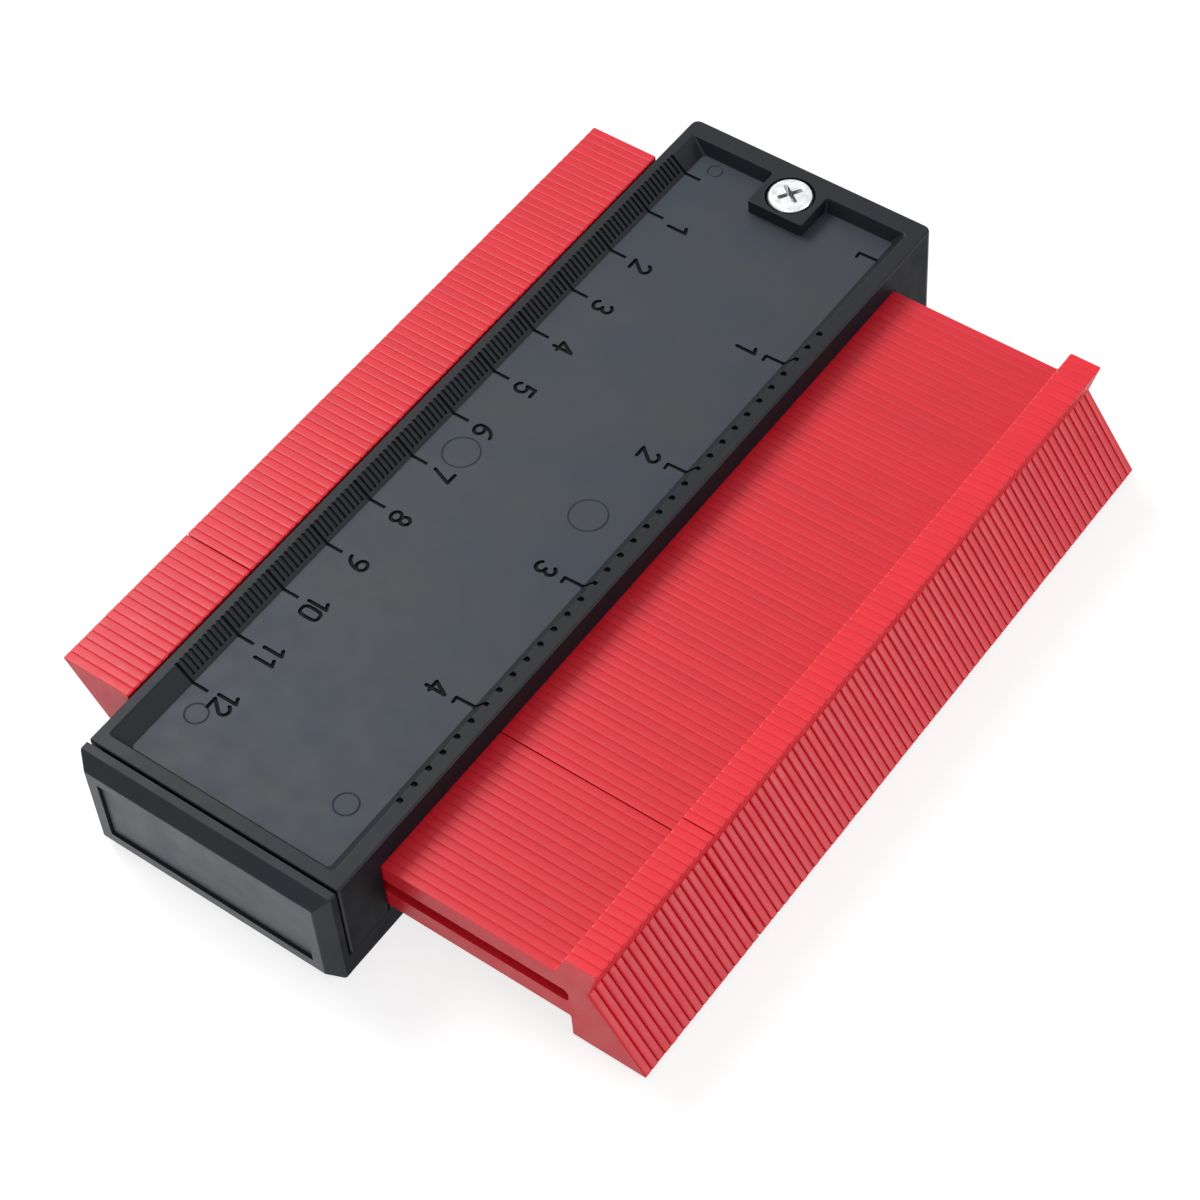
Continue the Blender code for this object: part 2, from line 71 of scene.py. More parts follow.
Corner = tuple[float, float, float]
Colour = tuple[float, float, float]
Face = tuple[int, ...]


class Axis(Enum):
    """The axis that a flat outline is carried along."""

    ALONG_Y = "y"
    ALONG_Z = "z"


class Join(Enum):
    """What a Boolean does with its tool."""

    ADD = "UNION"
    CUT = "DIFFERENCE"


class Skin(IntEnum):
    """The finish of a face, as a place in its piece's material slots."""

    PLAIN = 0
    # A darker, duller material standing in for the shade inside engraved marks, sunk walls and the
    # screw's cross: painted shade.
    ENGRAVED = 1
    FIELD = 2
    SIDE = 3


# Surfaces


@dataclass
class Surface:
    """Points in millimetres and the faces between them."""

    points: np.ndarray
    faces: list[Face]


def merged(parts: Iterable[Surface]) -> Surface:
    """Put several surfaces into one mesh.

    Args:
        parts: surfaces that don't touch each other.

    Returns:
        One surface with all their points and faces.
    """
    listed = list(parts)
    starts = np.cumsum([0] + [len(part.points) for part in listed])
    faces = [
        tuple(i + int(start) for i in face)
        for part, start in zip(listed, starts)
        for face in part.faces
    ]
    return Surface(np.concatenate([part.points for part in listed]), faces)


def rounded(corners: Sequence[Corner], steps: int = 3) -> np.ndarray:
    """A closed outline whose corners are replaced by tangent arcs.

    Each arc runs between the points that lie radius / tan(half the corner's angle) from the corner
    on its two sides, and its points are the spherical blend of the two radii.

    Args:
        corners: x, y and radius of each corner, anticlockwise.
        steps: segments in each arc.

    Returns:
        The outline's points, steps + 1 for each corner.
    """
    table = np.array(corners, dtype=float)
    here = table[:, :2]
    radius = table[:, 2:3]
    back = np.roll(here, 1, axis=0) - here
    ahead = np.roll(here, -1, axis=0) - here
    back /= np.linalg.norm(back, axis=1, keepdims=True)
    ahead /= np.linalg.norm(ahead, axis=1, keepdims=True)
    half = np.arccos(np.clip((back * ahead).sum(axis=1, keepdims=True), -1.0, 1.0)) / 2
    middle = back + ahead
    middle /= np.linalg.norm(middle, axis=1, keepdims=True)
    centre = here + middle * radius / np.sin(half)
    first = here + back * radius / np.tan(half) - centre
    last = here + ahead * radius / np.tan(half) - centre
    turn = (math.pi - 2 * half)[:, None, :]
    share = np.linspace(0.0, 1.0, steps + 1)[None, :, None]
    blend = np.sin((1 - share) * turn) * first[:, None, :] + np.sin(share * turn) * last[:, None, :]
    return (centre[:, None, :] + blend / np.sin(turn)).reshape(-1, 2)


def rectangle(
    left: float, right: float, near: float, far: float, radii: Sequence[float]
) -> np.ndarray:
    """A rectangle with a radius for each corner, from its right near corner anticlockwise."""
    places = ((right, near), (right, far), (left, far), (left, near))
    return rounded([(x, y, radius) for (x, y), radius in zip(places, radii)])


def inset(outline: np.ndarray, distance: float | np.ndarray) -> np.ndarray:
    """An anticlockwise outline with its sides moved inwards and its corners mitred.

    Args:
        outline: points of the closed outline.
        distance: how far the sides move in, for all points or one by one; a negative value
            moves them out.

    Returns:
        The moved outline.
    """
    side = np.roll(outline, -1, axis=0) - outline
    side /= np.linalg.norm(side, axis=1, keepdims=True)
    inward = np.stack([-side[:, 1], side[:, 0]], axis=1)
    before = np.roll(inward, 1, axis=0)
    share = 1 + (inward * before).sum(axis=1, keepdims=True)
    return outline + (inward + before) / share * np.reshape(distance, (-1, 1))


def ring(outline: np.ndarray, level: float | np.ndarray, axis: Axis = Axis.ALONG_Z) -> np.ndarray:
    """A flat outline stood at one level of an axis.

    Args:
        outline: the outline's points.
        level: the place along the axis, for all points or one by one.
        axis: ALONG_Z lays the outline on X and Y, ALONG_Y on X and Z.

    Returns:
        The ring's points.
    """
    column = np.broadcast_to(np.reshape(level, (-1, 1)), (len(outline), 1))
    if axis is Axis.ALONG_Z:
        return np.hstack([outline, column])
    return np.hstack([outline[:, :1], column, outline[:, 1:]])


def band(rows: np.ndarray) -> list[Face]:
    """The four-sided faces between neighbouring rows of point numbers.

    Args:
        rows: the point numbers, each row closed on itself.

    Returns:
        The faces.
    """
    ahead = np.roll(rows, -1, axis=1)
    quads = np.stack([rows[:-1], ahead[:-1], ahead[1:], rows[1:]], axis=-1)
    return [tuple(face) for face in quads.reshape(-1, 4).tolist()]


def loft(rings: Sequence[np.ndarray], endless: bool = False) -> Surface:
    """The closed skin through rings of the same number of points.

    Args:
        rings: the rings in order.
        endless: whether the last ring joins the first; otherwise each end gets a flat face.

    Returns:
        The skin.
    """
    stack = np.stack(rings)
    levels, size = stack.shape[:2]
    index = np.arange(levels * size).reshape(levels, size)
    faces = band(np.vstack([index, index[:1]]) if endless else index)
    if not endless:
        faces.append(tuple(index[0, ::-1].tolist()))
        faces.append(tuple(index[-1].tolist()))
    return Surface(stack.reshape(-1, 3), faces)


def prism(outline: np.ndarray, start: float, stop: float, axis: Axis = Axis.ALONG_Z) -> Surface:
    """A flat outline carried straight along an axis."""
    return loft([ring(outline, start, axis), ring(outline, stop, axis)])


def block(x: Sequence[float], y: Sequence[float], z: Sequence[float]) -> Surface:
    """A plain block between two values on each axis."""
    outline = np.array([(x[1], y[0]), (x[1], y[1]), (x[0], y[1]), (x[0], y[0])])
    return prism(outline, z[0], z[1])


def circle(radius: float, count: int = 48) -> np.ndarray:
    """Points of a full circle about the origin."""
    angle = np.linspace(0.0, 2 * math.pi, count, endpoint=False)
    return np.stack([np.cos(angle), np.sin(angle)], axis=1) * radius


def drum(centre: Sequence[float], radius: float, z: Sequence[float]) -> Surface:
    """An upright cylinder."""
    return prism(circle(radius) + np.array(centre), z[0], z[1])


def ribbon(path: np.ndarray, width: float, z: Sequence[float], closed: bool = False) -> Surface:
    """A stroke of one width carried along a path, with round ends unless the path is closed.

    A station is a point of the path with half the width to each side of it, square to the path's
    direction there. A round end is further stations whose half width falls as the cosine of an
    angle while their distance grows as its sine.

    Args:
        path: points of the stroke's middle line on X and Y.
        width: the stroke's width.
        z: its lowest and highest level.
        closed: whether the path joins its own start.

    Returns:
        The closed solid of the stroke.
    """
    half = width / 2
    if closed:
        side = np.roll(path, -1, axis=0) - np.roll(path, 1, axis=0)
    else:
        side = np.gradient(path, axis=0)
    side /= np.linalg.norm(side, axis=1, keepdims=True)
    reach = np.full((len(path), 1), half)
    if not closed:
        turn = np.radians(ROUND_END)[:, None]
        before = path[0] - side[0] * half * np.sin(turn[::-1])
        after = path[-1] + side[-1] * half * np.sin(turn)
        path = np.vstack([before, path, after])
        reach = np.vstack([half * np.cos(turn[::-1]), reach, half * np.cos(turn)])
        side = np.pad(side, ((len(ROUND_END), len(ROUND_END)), (0, 0)), "edge")
    across = np.stack([-side[:, 1], side[:, 0]], axis=1) * reach
    left, right = path + across, path - across
    rows = [ring(left, z[0]), ring(left, z[1]), ring(right, z[1]), ring(right, z[0])]
    return loft(list(np.stack(rows, axis=1)), closed)


def make_object(
    name: str, surface: Surface, materials: Sequence[bpy.types.Material], skin: Skin = Skin.PLAIN
) -> bpy.types.Object:
    """Make a mesh object, in metres, with its faces pointing outwards.

    Args:
        name: the object's name.
        surface: its points and faces.
        materials: its material slots.
        skin: the finish of all its faces.

    Returns:
        The new object, at the origin.
    """
    mesh = bpy.data.meshes.new(name)
    mesh.from_pydata((surface.points * METRE).tolist(), [], surface.faces)
    for material in materials:
        mesh.materials.append(material)
    mesh.polygons.foreach_set("material_index", np.full(len(mesh.polygons), skin, dtype=np.int32))
    thing = bpy.data.objects.new(name, mesh)
    bpy.context.collection.objects.link(thing)
    face_outwards(mesh)
    return thing


def face_outwards(mesh: bpy.types.Mesh) -> None:
    """Turn the faces of a closed mesh so that they point out.

    Args:
        mesh: the mesh.
    """
    bm = bmesh.new()
    bm.from_mesh(mesh)
    bmesh.ops.recalc_face_normals(bm, faces=bm.faces)
    bm.to_mesh(mesh)
    bm.free()


def bake_modifiers(thing: bpy.types.Object) -> None:
    """Replace an object's mesh by what its modifiers make of it.

    Args:
        thing: the object.
    """
    before = thing.data
    depsgraph = bpy.context.evaluated_depsgraph_get()
    mesh = bpy.data.meshes.new_from_object(thing.evaluated_get(depsgraph))
    thing.modifiers.clear()
    thing.data = mesh
    name = before.name
    bpy.data.meshes.remove(before)
    mesh.name = name


def combine(thing: bpy.types.Object, tool: Surface, join: Join, skin: Skin = Skin.PLAIN) -> None:
    """Add a solid to an object, or cut it out.

    Args:
        thing: the object that changes.
        tool: the solid.
        join: whether it is added or cut.
        skin: the finish of the faces that it leaves.
    """
    helper = make_object("tool", tool, list(thing.data.materials), skin)
    step = thing.modifiers.new("combine", "BOOLEAN")
    step.operation = join.value
    step.solver = "EXACT"
    step.object = helper
    bake_modifiers(thing)
    mesh = helper.data
    bpy.data.objects.remove(helper)
    bpy.data.meshes.remove(mesh)


def finish_faces(thing: bpy.types.Object, facing: Corner, level: float, skin: Skin) -> None:
    """Give the flat faces at one level a finish of their own.

    Args:
        thing: the object.
        facing: the direction that the faces look, of length 1.
        level: their distance from the origin along it.
        skin: the finish that they take.
    """
    polygons = thing.data.polygons
    normals, centres = np.empty(len(polygons) * 3), np.empty(len(polygons) * 3)
    slots = np.empty(len(polygons), dtype=np.int32)
    polygons.foreach_get("normal", normals)
    polygons.foreach_get("center", centres)
    polygons.foreach_get("material_index", slots)
    towards = normals.reshape(-1, 3) @ np.array(facing)
    place = centres.reshape(-1, 3) @ np.array(facing) / METRE
    slots[(towards > FACING) & (np.abs(place - level) < LEVEL_SLACK)] = skin
    polygons.foreach_set("material_index", slots)


def shade(thing: bpy.types.Object, degrees: float = SHARP_ANGLE) -> None:
    """Shade a piece smooth below an angle, with its large faces keeping their flat look.

    Args:
        thing: the piece.
        degrees: the angle past which an edge stays sharp.
    """
    thing.data.shade_smooth()
    thing.data.set_sharp_from_angle(angle=math.radians(degrees))
    step = thing.modifiers.new("large faces stay flat", "WEIGHTED_NORMAL")
    step.keep_sharp = True
    bake_modifiers(thing)


# Finishes


@dataclass(frozen=True)
class Finish:
    """A material made of a Principled shader and procedural nodes on object coordinates."""

    name: str

    def build(self) -> bpy.types.Material:
        """Make the material.

        Returns:
            The material, with its nodes linked.
        """
        material = bpy.data.materials.new(self.name)
        material.use_nodes = True
        tree = material.node_tree
        self.dress(tree, tree.nodes["Principled BSDF"])
        return material

    def dress(self, tree: bpy.types.NodeTree, shader: bpy.types.Node) -> None:
        """Set the shader's sockets; each finish has its own."""
        raise NotImplementedError

    @staticmethod
    def noise(
        tree: bpy.types.NodeTree, scale: float, detail: float, stretch: Corner = (1.0, 1.0, 1.0)
    ) -> bpy.types.NodeSocket:
        """A noise texture on object coordinates.

        Args:
            tree: the node tree.
            scale: repeats to a metre.
            detail: octaves.
            stretch: a factor on each axis.

        Returns:
            The noise's value.
        """
        place = tree.nodes.new("ShaderNodeTexCoord")
        mapping = tree.nodes.new("ShaderNodeMapping")
        mapping.inputs["Scale"].default_value = stretch
        texture = tree.nodes.new("ShaderNodeTexNoise")
        texture.inputs["Scale"].default_value = scale
        texture.inputs["Detail"].default_value = detail
        tree.links.new(place.outputs["Object"], mapping.inputs["Vector"])
        tree.links.new(mapping.outputs["Vector"], texture.inputs["Vector"])
        return texture.outputs["Fac"]

    @staticmethod
    def tint(
        tree: bpy.types.NodeTree,
        shader: bpy.types.Node,
        source: bpy.types.NodeSocket,
        ends: Sequence[tuple[float, Colour]],
    ) -> None:
        """Colour the shader by a ramp over a value.

        Args:
            tree: the node tree.
            shader: the Principled shader.
            source: the value.
            ends: the place and linear colour of the ramp's two ends.
        """
        node = tree.nodes.new("ShaderNodeValToRGB")
        for element, (place, colour) in zip(node.color_ramp.elements, ends):
            element.position = place
            element.color = (*colour, 1.0)
        tree.links.new(source, node.inputs["Fac"])
        tree.links.new(node.outputs["Color"], shader.inputs["Base Color"])

    @staticmethod
    def uneven_gloss(
        tree: bpy.types.NodeTree,
        shader: bpy.types.Node,
        source: bpy.types.NodeSocket,
        limits: Sequence[float],
    ) -> None:
        """Let the roughness follow a noise between two limits.

        Args:
            tree: the node tree.
            shader: the Principled shader.
            source: the noise's value.
            limits: the lowest and highest roughness.
        """
        node = tree.nodes.new("ShaderNodeMapRange")
        for name, value in zip(("From Min", "From Max"), NOISE_RANGE):
            node.inputs[name].default_value = value
        for name, value in zip(("To Min", "To Max"), limits):
            node.inputs[name].default_value = value
        tree.links.new(source, node.inputs["Value"])
        tree.links.new(node.outputs["Result"], shader.inputs["Roughness"])

    def fine_grain(
        self,
        tree: bpy.types.NodeTree,
        shader: bpy.types.Node,
        scale: float,
        depth: float,
        strength: float,
    ) -> None:
        """Raise the surface by a fine noise.

        Args:
            tree: the node tree.
            shader: the Principled shader.
            scale: the noise's repeats to a metre.
            depth: its height in millimetres.
            strength: how much of it the light shows, from 0 to 1.
        """
        grain = self.noise(tree, scale, 2.0)
        node = tree.nodes.new("ShaderNodeBump")
        node.inputs["Strength"].default_value = strength
        node.inputs["Distance"].default_value = depth * METRE
        tree.links.new(grain, node.inputs["Height"])
        tree.links.new(node.outputs["Normal"], shader.inputs["Normal"])


@dataclass(frozen=True)
class BlackPlastic(Finish):
    """Moulded black plastic with a spark-eroded skin and a cloudy tint."""

    cool: Colour = (0.007, 0.009, 0.014)
    warm: Colour = (0.009, 0.010, 0.012)
    roughness: tuple[float, float] = (0.40, 0.50)
    gleam: float = 0.24
    cloud_scale: float = 70.0
    cloud_range: tuple[float, float] = (0.36, 0.64)
    gloss_scale: float = 240.0
    grain_scale: float = 5200.0
    grain_depth: float = 0.012
    grain_strength: float = 0.35

    def dress(self, tree: bpy.types.NodeTree, shader: bpy.types.Node) -> None:
        """Cloudy tint, uneven gloss and fine grain.

        Args:
            tree: the material's node tree.
            shader: its Principled shader.
        """
        cloud = self.noise(tree, self.cloud_scale, 3.0)
        self.tint(tree, shader, cloud, tuple(zip(self.cloud_range, (self.cool, self.warm))))
        shader.inputs["Specular IOR Level"].default_value = self.gleam
        self.uneven_gloss(tree, shader, self.noise(tree, self.gloss_scale, 4.0), self.roughness)
        self.fine_grain(tree, shader, self.grain_scale, self.grain_depth, self.grain_strength)


@dataclass(frozen=True)
class RedPlastic(Finish):
    """Moulded red plastic: each leaf has its own tone, with faint flow lines along it; the tone
    also carries a painted highlight on the top of the right-hand ridge.
    """

    dark: Colour = (0.61, 0.010, 0.024)
    light: Colour = (0.82, 0.016, 0.032)
    tone_range: tuple[float, float] = (0.10, 0.85)
    roughness: tuple[float, float] = (0.34, 0.46)
    gleam: float = 0.42
    tone: str = "tone"
    flow_scale: float = 260.0
    flow_stretch: Corner = (0.25, 6.0, 1.0)
    flow_share: float = 0.25
    gloss_scale: float = 300.0
    grain_scale: float = 2600.0
    grain_depth: float = 0.010
    grain_strength: float = 0.25

    def dress(self, tree: bpy.types.NodeTree, shader: bpy.types.Node) -> None:
        """Tone by leaf with a painted highlight on the right-hand ridge, flow lines, uneven gloss
        and fine grain.

        Args:
            tree: the material's node tree.
            shader: its Principled shader.
        """
        own = tree.nodes.new("ShaderNodeAttribute")
        own.attribute_name = self.tone
        flow = self.noise(tree, self.flow_scale, 3.0, self.flow_stretch)
        total = tree.nodes.new("ShaderNodeMath")
        total.operation = "MULTIPLY_ADD"
        tree.links.new(flow, total.inputs[0])
        total.inputs[1].default_value = self.flow_share
        tree.links.new(own.outputs["Fac"], total.inputs[2])
        ends = tuple(zip(self.tone_range, (self.dark, self.light)))
        self.tint(tree, shader, total.outputs["Value"], ends)
        shader.inputs["Specular IOR Level"].default_value = self.gleam
        self.uneven_gloss(tree, shader, self.noise(tree, self.gloss_scale, 4.0), self.roughness)
        self.fine_grain(tree, shader, self.grain_scale, self.grain_depth, self.grain_strength)


@dataclass(frozen=True)
class ZincPlate(Finish):
    """Bright zinc plate with a faint bluish cloud."""

    light: Colour = (0.86, 0.88, 0.89)
    dark: Colour = (0.70, 0.72, 0.75)
    cloud_scale: float = 700.0
    cloud_range: tuple[float, float] = (0.35, 0.60)
    roughness: tuple[float, float] = (0.26, 0.38)
    grain_scale: float = 4000.0
    grain_depth: float = 0.006
    grain_strength: float = 0.3

    def dress(self, tree: bpy.types.NodeTree, shader: bpy.types.Node) -> None:
        """Cloudy plate with a satin gloss.

        Args:
            tree: the material's node tree.
            shader: its Principled shader.
        """
        cloud = self.noise(tree, self.cloud_scale, 4.0)
        self.tint(tree, shader, cloud, tuple(zip(self.cloud_range, (self.dark, self.light))))
        shader.inputs["Metallic"].default_value = 1.0
        self.uneven_gloss(tree, shader, cloud, self.roughness)
        self.fine_grain(tree, shader, self.grain_scale, self.grain_depth, self.grain_strength)


@dataclass(frozen=True)
class StudioFloor(Finish):
    """White paper that the camera and mirrors see as the photograph's white ground."""

    paper: Colour = (0.36, 0.36, 0.36)
    lift: float = 0.74
    fibre_scale: float = 30.0
    fibre_tone: float = 0.99

    def dress(self, tree: bpy.types.NodeTree, shader: bpy.types.Node) -> None:
        """Matt paper, lifted towards white for camera, glossy and transmission rays.

        Args:
            tree: the material's node tree.
            shader: its Principled shader.
        """
        fibre = self.noise(tree, self.fibre_scale, 3.0)
        tone = tuple(value * self.fibre_tone for value in self.paper)
        self.tint(tree, shader, fibre, tuple(zip(NOISE_RANGE, (tone, self.paper))))
        shader.inputs["Roughness"].default_value = 0.9
        shader.inputs["Specular IOR Level"].default_value = 0.0
        shader.inputs["Emission Color"].default_value = (1.0, 1.0, 1.0, 1.0)
        strength = tree.nodes.new("ShaderNodeMath")
        strength.operation = "MULTIPLY"
        strength.inputs[1].default_value = self.lift
        tree.links.new(seen_rays(tree), strength.inputs[0])
        tree.links.new(strength.outputs["Value"], shader.inputs["Emission Strength"])


def seen_rays(tree: bpy.types.NodeTree) -> bpy.types.NodeSocket:
    """One for camera, glossy and transmission rays and nought for the others.

    Args:
        tree: the node tree.

    Returns:
        The socket with that value.
    """
    rays = tree.nodes.new("ShaderNodeLightPath")
    total = rays.outputs["Is Camera Ray"]
    for kind in ("Is Glossy Ray", "Is Transmission Ray"):
        node = tree.nodes.new("ShaderNodeMath")
        node.operation = "MAXIMUM"
        tree.links.new(total, node.inputs[0])
        tree.links.new(rays.outputs[kind], node.inputs[1])
        total = node.outputs["Value"]
    return total


@dataclass(frozen=True)
class Palette:
    """The finished materials."""

    cover: bpy.types.Material
    cover_field: bpy.types.Material
    base: bpy.types.Material
    base_field: bpy.types.Material
    side: bpy.types.Material
    guide: bpy.types.Material
    # The darker black painted into engraved marks and sunk walls as painted shade.
    groove: bpy.types.Material
    # The darker zinc inside the screw's cross, a painted shade.
    recess: bpy.types.Material
    leaf: bpy.types.Material
    zinc: bpy.types.Material
    floor: bpy.types.Material

    @classmethod
    def build(cls) -> "Palette":
        """Make all the materials.

        Returns:
            The palette.
        """
        tints = {"cool": (0.029, 0.036, 0.052), "warm": (0.036, 0.040, 0.047)}
        cover_field = BlackPlastic(
            "textured cover plastic", roughness=(0.44, 0.56), gleam=0.32, **tints
        )
        base_field = BlackPlastic(
            "textured base plastic", roughness=(0.40, 0.50), gleam=0.62, **tints
        )
        # Painted shade: a darker, duller copy of the black plastic that stands in for the shade
        # inside the engraved marks, the sunk panel's walls and the tab pockets.
        groove = BlackPlastic(
            "painted shade plastic",
            cool=(0.004, 0.005, 0.007),
            warm=(0.006, 0.006, 0.007),
            roughness=(0.6, 0.7),
            gleam=0.10,
        )
        # Painted shade: a darker copy of the zinc for the inside of the screw's cross recess.
        recess = ZincPlate("shaded zinc", light=(0.50, 0.52, 0.54), dark=(0.36, 0.37, 0.39))
        return cls(
            cover=BlackPlastic("cover plastic").build(),
            cover_field=cover_field.build(),
            base=BlackPlastic("base plastic").build(),
            base_field=base_field.build(),
            side=BlackPlastic("matt side plastic", roughness=(0.50, 0.60), gleam=0.07).build(),
            guide=BlackPlastic("guide plastic").build(),
            groove=groove.build(),
            recess=recess.build(),
            leaf=RedPlastic("leaf plastic").build(),
            zinc=ZincPlate("zinc plate").build(),
            floor=StudioFloor("studio paper").build(),
        )


# Sizes that the body's pieces share


@dataclass(frozen=True)
class BodySizes:
    """The body's main places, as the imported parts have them."""

    left: float = -37.60
    right: float = 6.87
    middle: float = -15.365
    near: float = -74.675
    wall_back: float = -71.675
    cover_near: float = -70.975
    near_block: float = -62.775
    far_block: float = 64.475
    far: float = 74.675
    screw_y: float = 68.575
    underside: float = 2.4
    base_top: float = 4.1
    parting: float = 4.18
    deck_top: float = 5.2
    window_top: float = 15.2
    guide: tuple[float, float] = (9.15, 11.25)
    floor: float = 17.2
    rim: float = 19.67
    tab_bottom: float = 5.6
    tab_thickness: float = 1.2
    tab_width: float = 6.0
    tab_spacing: float = 24.0
    guide_width: float = 16.0
    fit: float = 0.3

    @property
    def tab_places(self) -> tuple[float, float]:
        """X of the middle of each tab."""
        return (self.middle - self.tab_spacing / 2, self.middle + self.tab_spacing / 2)

    @property
    def screw_place(self) -> tuple[float, float]:
        """X and Y of the screw's axis."""
        return (self.middle, self.screw_y)

    def dress_sides(self, thing: bpy.types.Object) -> None:
        """Give the two long side walls of a moulding their matt finish."""
        finish_faces(thing, (1.0, 0.0, 0.0), self.right, Skin.SIDE)
        finish_faces(thing, (-1.0, 0.0, 0.0), -self.left, Skin.SIDE)


# Marks engraved in the cover


def arc(
    centre: Sequence[float], radii: Sequence[float], start: float, stop: float, count: int = 14
) -> np.ndarray:
    """Points of an elliptic arc.

    Args:
        centre: its middle.
        radii: half its width and height.
        start: its first angle in degrees.
        stop: its last angle in degrees.
        count: points along it.

    Returns:
        The arc's points.
    """
    angle = np.radians(np.linspace(start, stop, count))
    wave = np.stack([np.cos(angle), np.sin(angle)], axis=1)
    return np.array(centre) + np.array(radii) * wave


def loop(
    centre: Sequence[float], radii: Sequence[float], power: float = 2.0, count: int = 28
) -> np.ndarray:
    """A closed oval; a power above 2 squares its shoulders.

    Args:
        centre: its middle.
        radii: half its width and height.
        power: the exponent of the oval.
        count: points round it.

    Returns:
        The oval's points, anticlockwise.
    """
    wave = circle(1.0, count)
    return np.array(centre) + np.sign(wave) * np.abs(wave) ** (2 / power) * np.array(radii)


def line(*points: Sequence[float]) -> np.ndarray:
    """A stroke through the given points."""
    return np.array(points, dtype=float)


@dataclass(frozen=True)
class Stroke:
    """One stroke of a numeral: its middle line, its cutting pass, and whether it closes."""

    path: np.ndarray
    turn: int = 0
    closed: bool = False


@dataclass(frozen=True)
class Numerals:
    """Plain single-stroke numerals, drawn about their own middle."""

    height: float = 3.2
    width: float = 1.75
    stroke: float = 0.60

    def strokes(self, numeral: str) -> list[Stroke]:
        """The strokes of one numeral, on X to the right and Y to its top.

        Args:
            numeral: one character from 0 to 9.

        Returns:
            Its strokes; those that meet each other are in different passes.
        """
        w, h = self.width / 2, self.height / 2
        six = [
            Stroke(loop((0, -h / 2), (w, h / 2)), 0, True),
            Stroke(arc((w * 0.9, -h * 0.4), (w * 1.9, h * 1.4), 95, 176), 1),
        ]
        hook = np.vstack([arc((0, h / 2), (w, h / 2), 165, -35), line((-w * 0.9, -h * 0.96))])
        shapes = {
            "0": [Stroke(loop((0, 0), (w, h), 3.2), 0, True)],
            "1": [
                Stroke(line((w / 2, -h), (w / 2, h))),
                Stroke(line((w / 2, h * 0.97), (-w * 0.55, h * 0.72)), 1),
            ],
            "2": [Stroke(hook), Stroke(line((-w, -h), (w, -h)), 1)],
            "3": [
                Stroke(arc((0, h / 2), (w * 0.9, h / 2), 155, -90)),
                Stroke(arc((0, -h / 2), (w, h / 2), 90, -155), 1),
            ],
            "4": [
                Stroke(line((w * 0.4, h), (-w, -h * 0.45))),
                Stroke(line((w * 0.45, h), (w * 0.45, -h)), 1),
                Stroke(line((-w, -h * 0.45), (w, -h * 0.45)), 2),
            ],
            "5": [
                Stroke(line((w * 0.85, h), (-w * 0.75, h))),
                Stroke(line((-w * 0.75, h), (-w * 0.85, h * 0.08)), 1),
                Stroke(arc((-w * 0.05, -h * 0.36), (w, h * 0.62), 140, -150), 2),
            ],
            "6": six,
            "7": [Stroke(line((-w, h), (w, h))), Stroke(line((w, h), (-w * 0.35, -h)), 1)],
            "8": [
                Stroke(loop((0, h * 0.52), (w * 0.82, h * 0.48)), 0, True),
                Stroke(loop((0, -h / 2), (w, h / 2)), 1, True),
            ],
            "9": [Stroke(-item.path, item.turn, item.closed) for item in six],
        }
        return shapes[numeral]


@dataclass
class Engraving:
    """The cutting tools of the marks, in passes whose tools don't touch each other."""

    passes: list[list[Surface]] = field(default_factory=lambda: [[], [], []])
    ribs: list[Surface] = field(default_factory=list)
    rings: list[Surface] = field(default_factory=list)

    def add(self, tool: Surface, turn: int = 0) -> None:
        """Put a tool into a pass."""
        self.passes[turn].append(tool)

    def cut(self, thing: bpy.types.Object) -> None:
        """Cut everything into an object: the ribs keep the plain finish, the other marks take a
        darker painted shade, and the ejector rings take the floor's textured finish.

        Args:
            thing: the object.
        """
        combine(thing, merged(self.ribs), Join.CUT)
        for tools in self.passes:
            # Every mark but the ribs gets the painted shade inside it.
            combine(thing, merged(tools), Join.CUT, Skin.ENGRAVED)
        combine(thing, merged(self.rings), Join.CUT, Skin.FIELD)


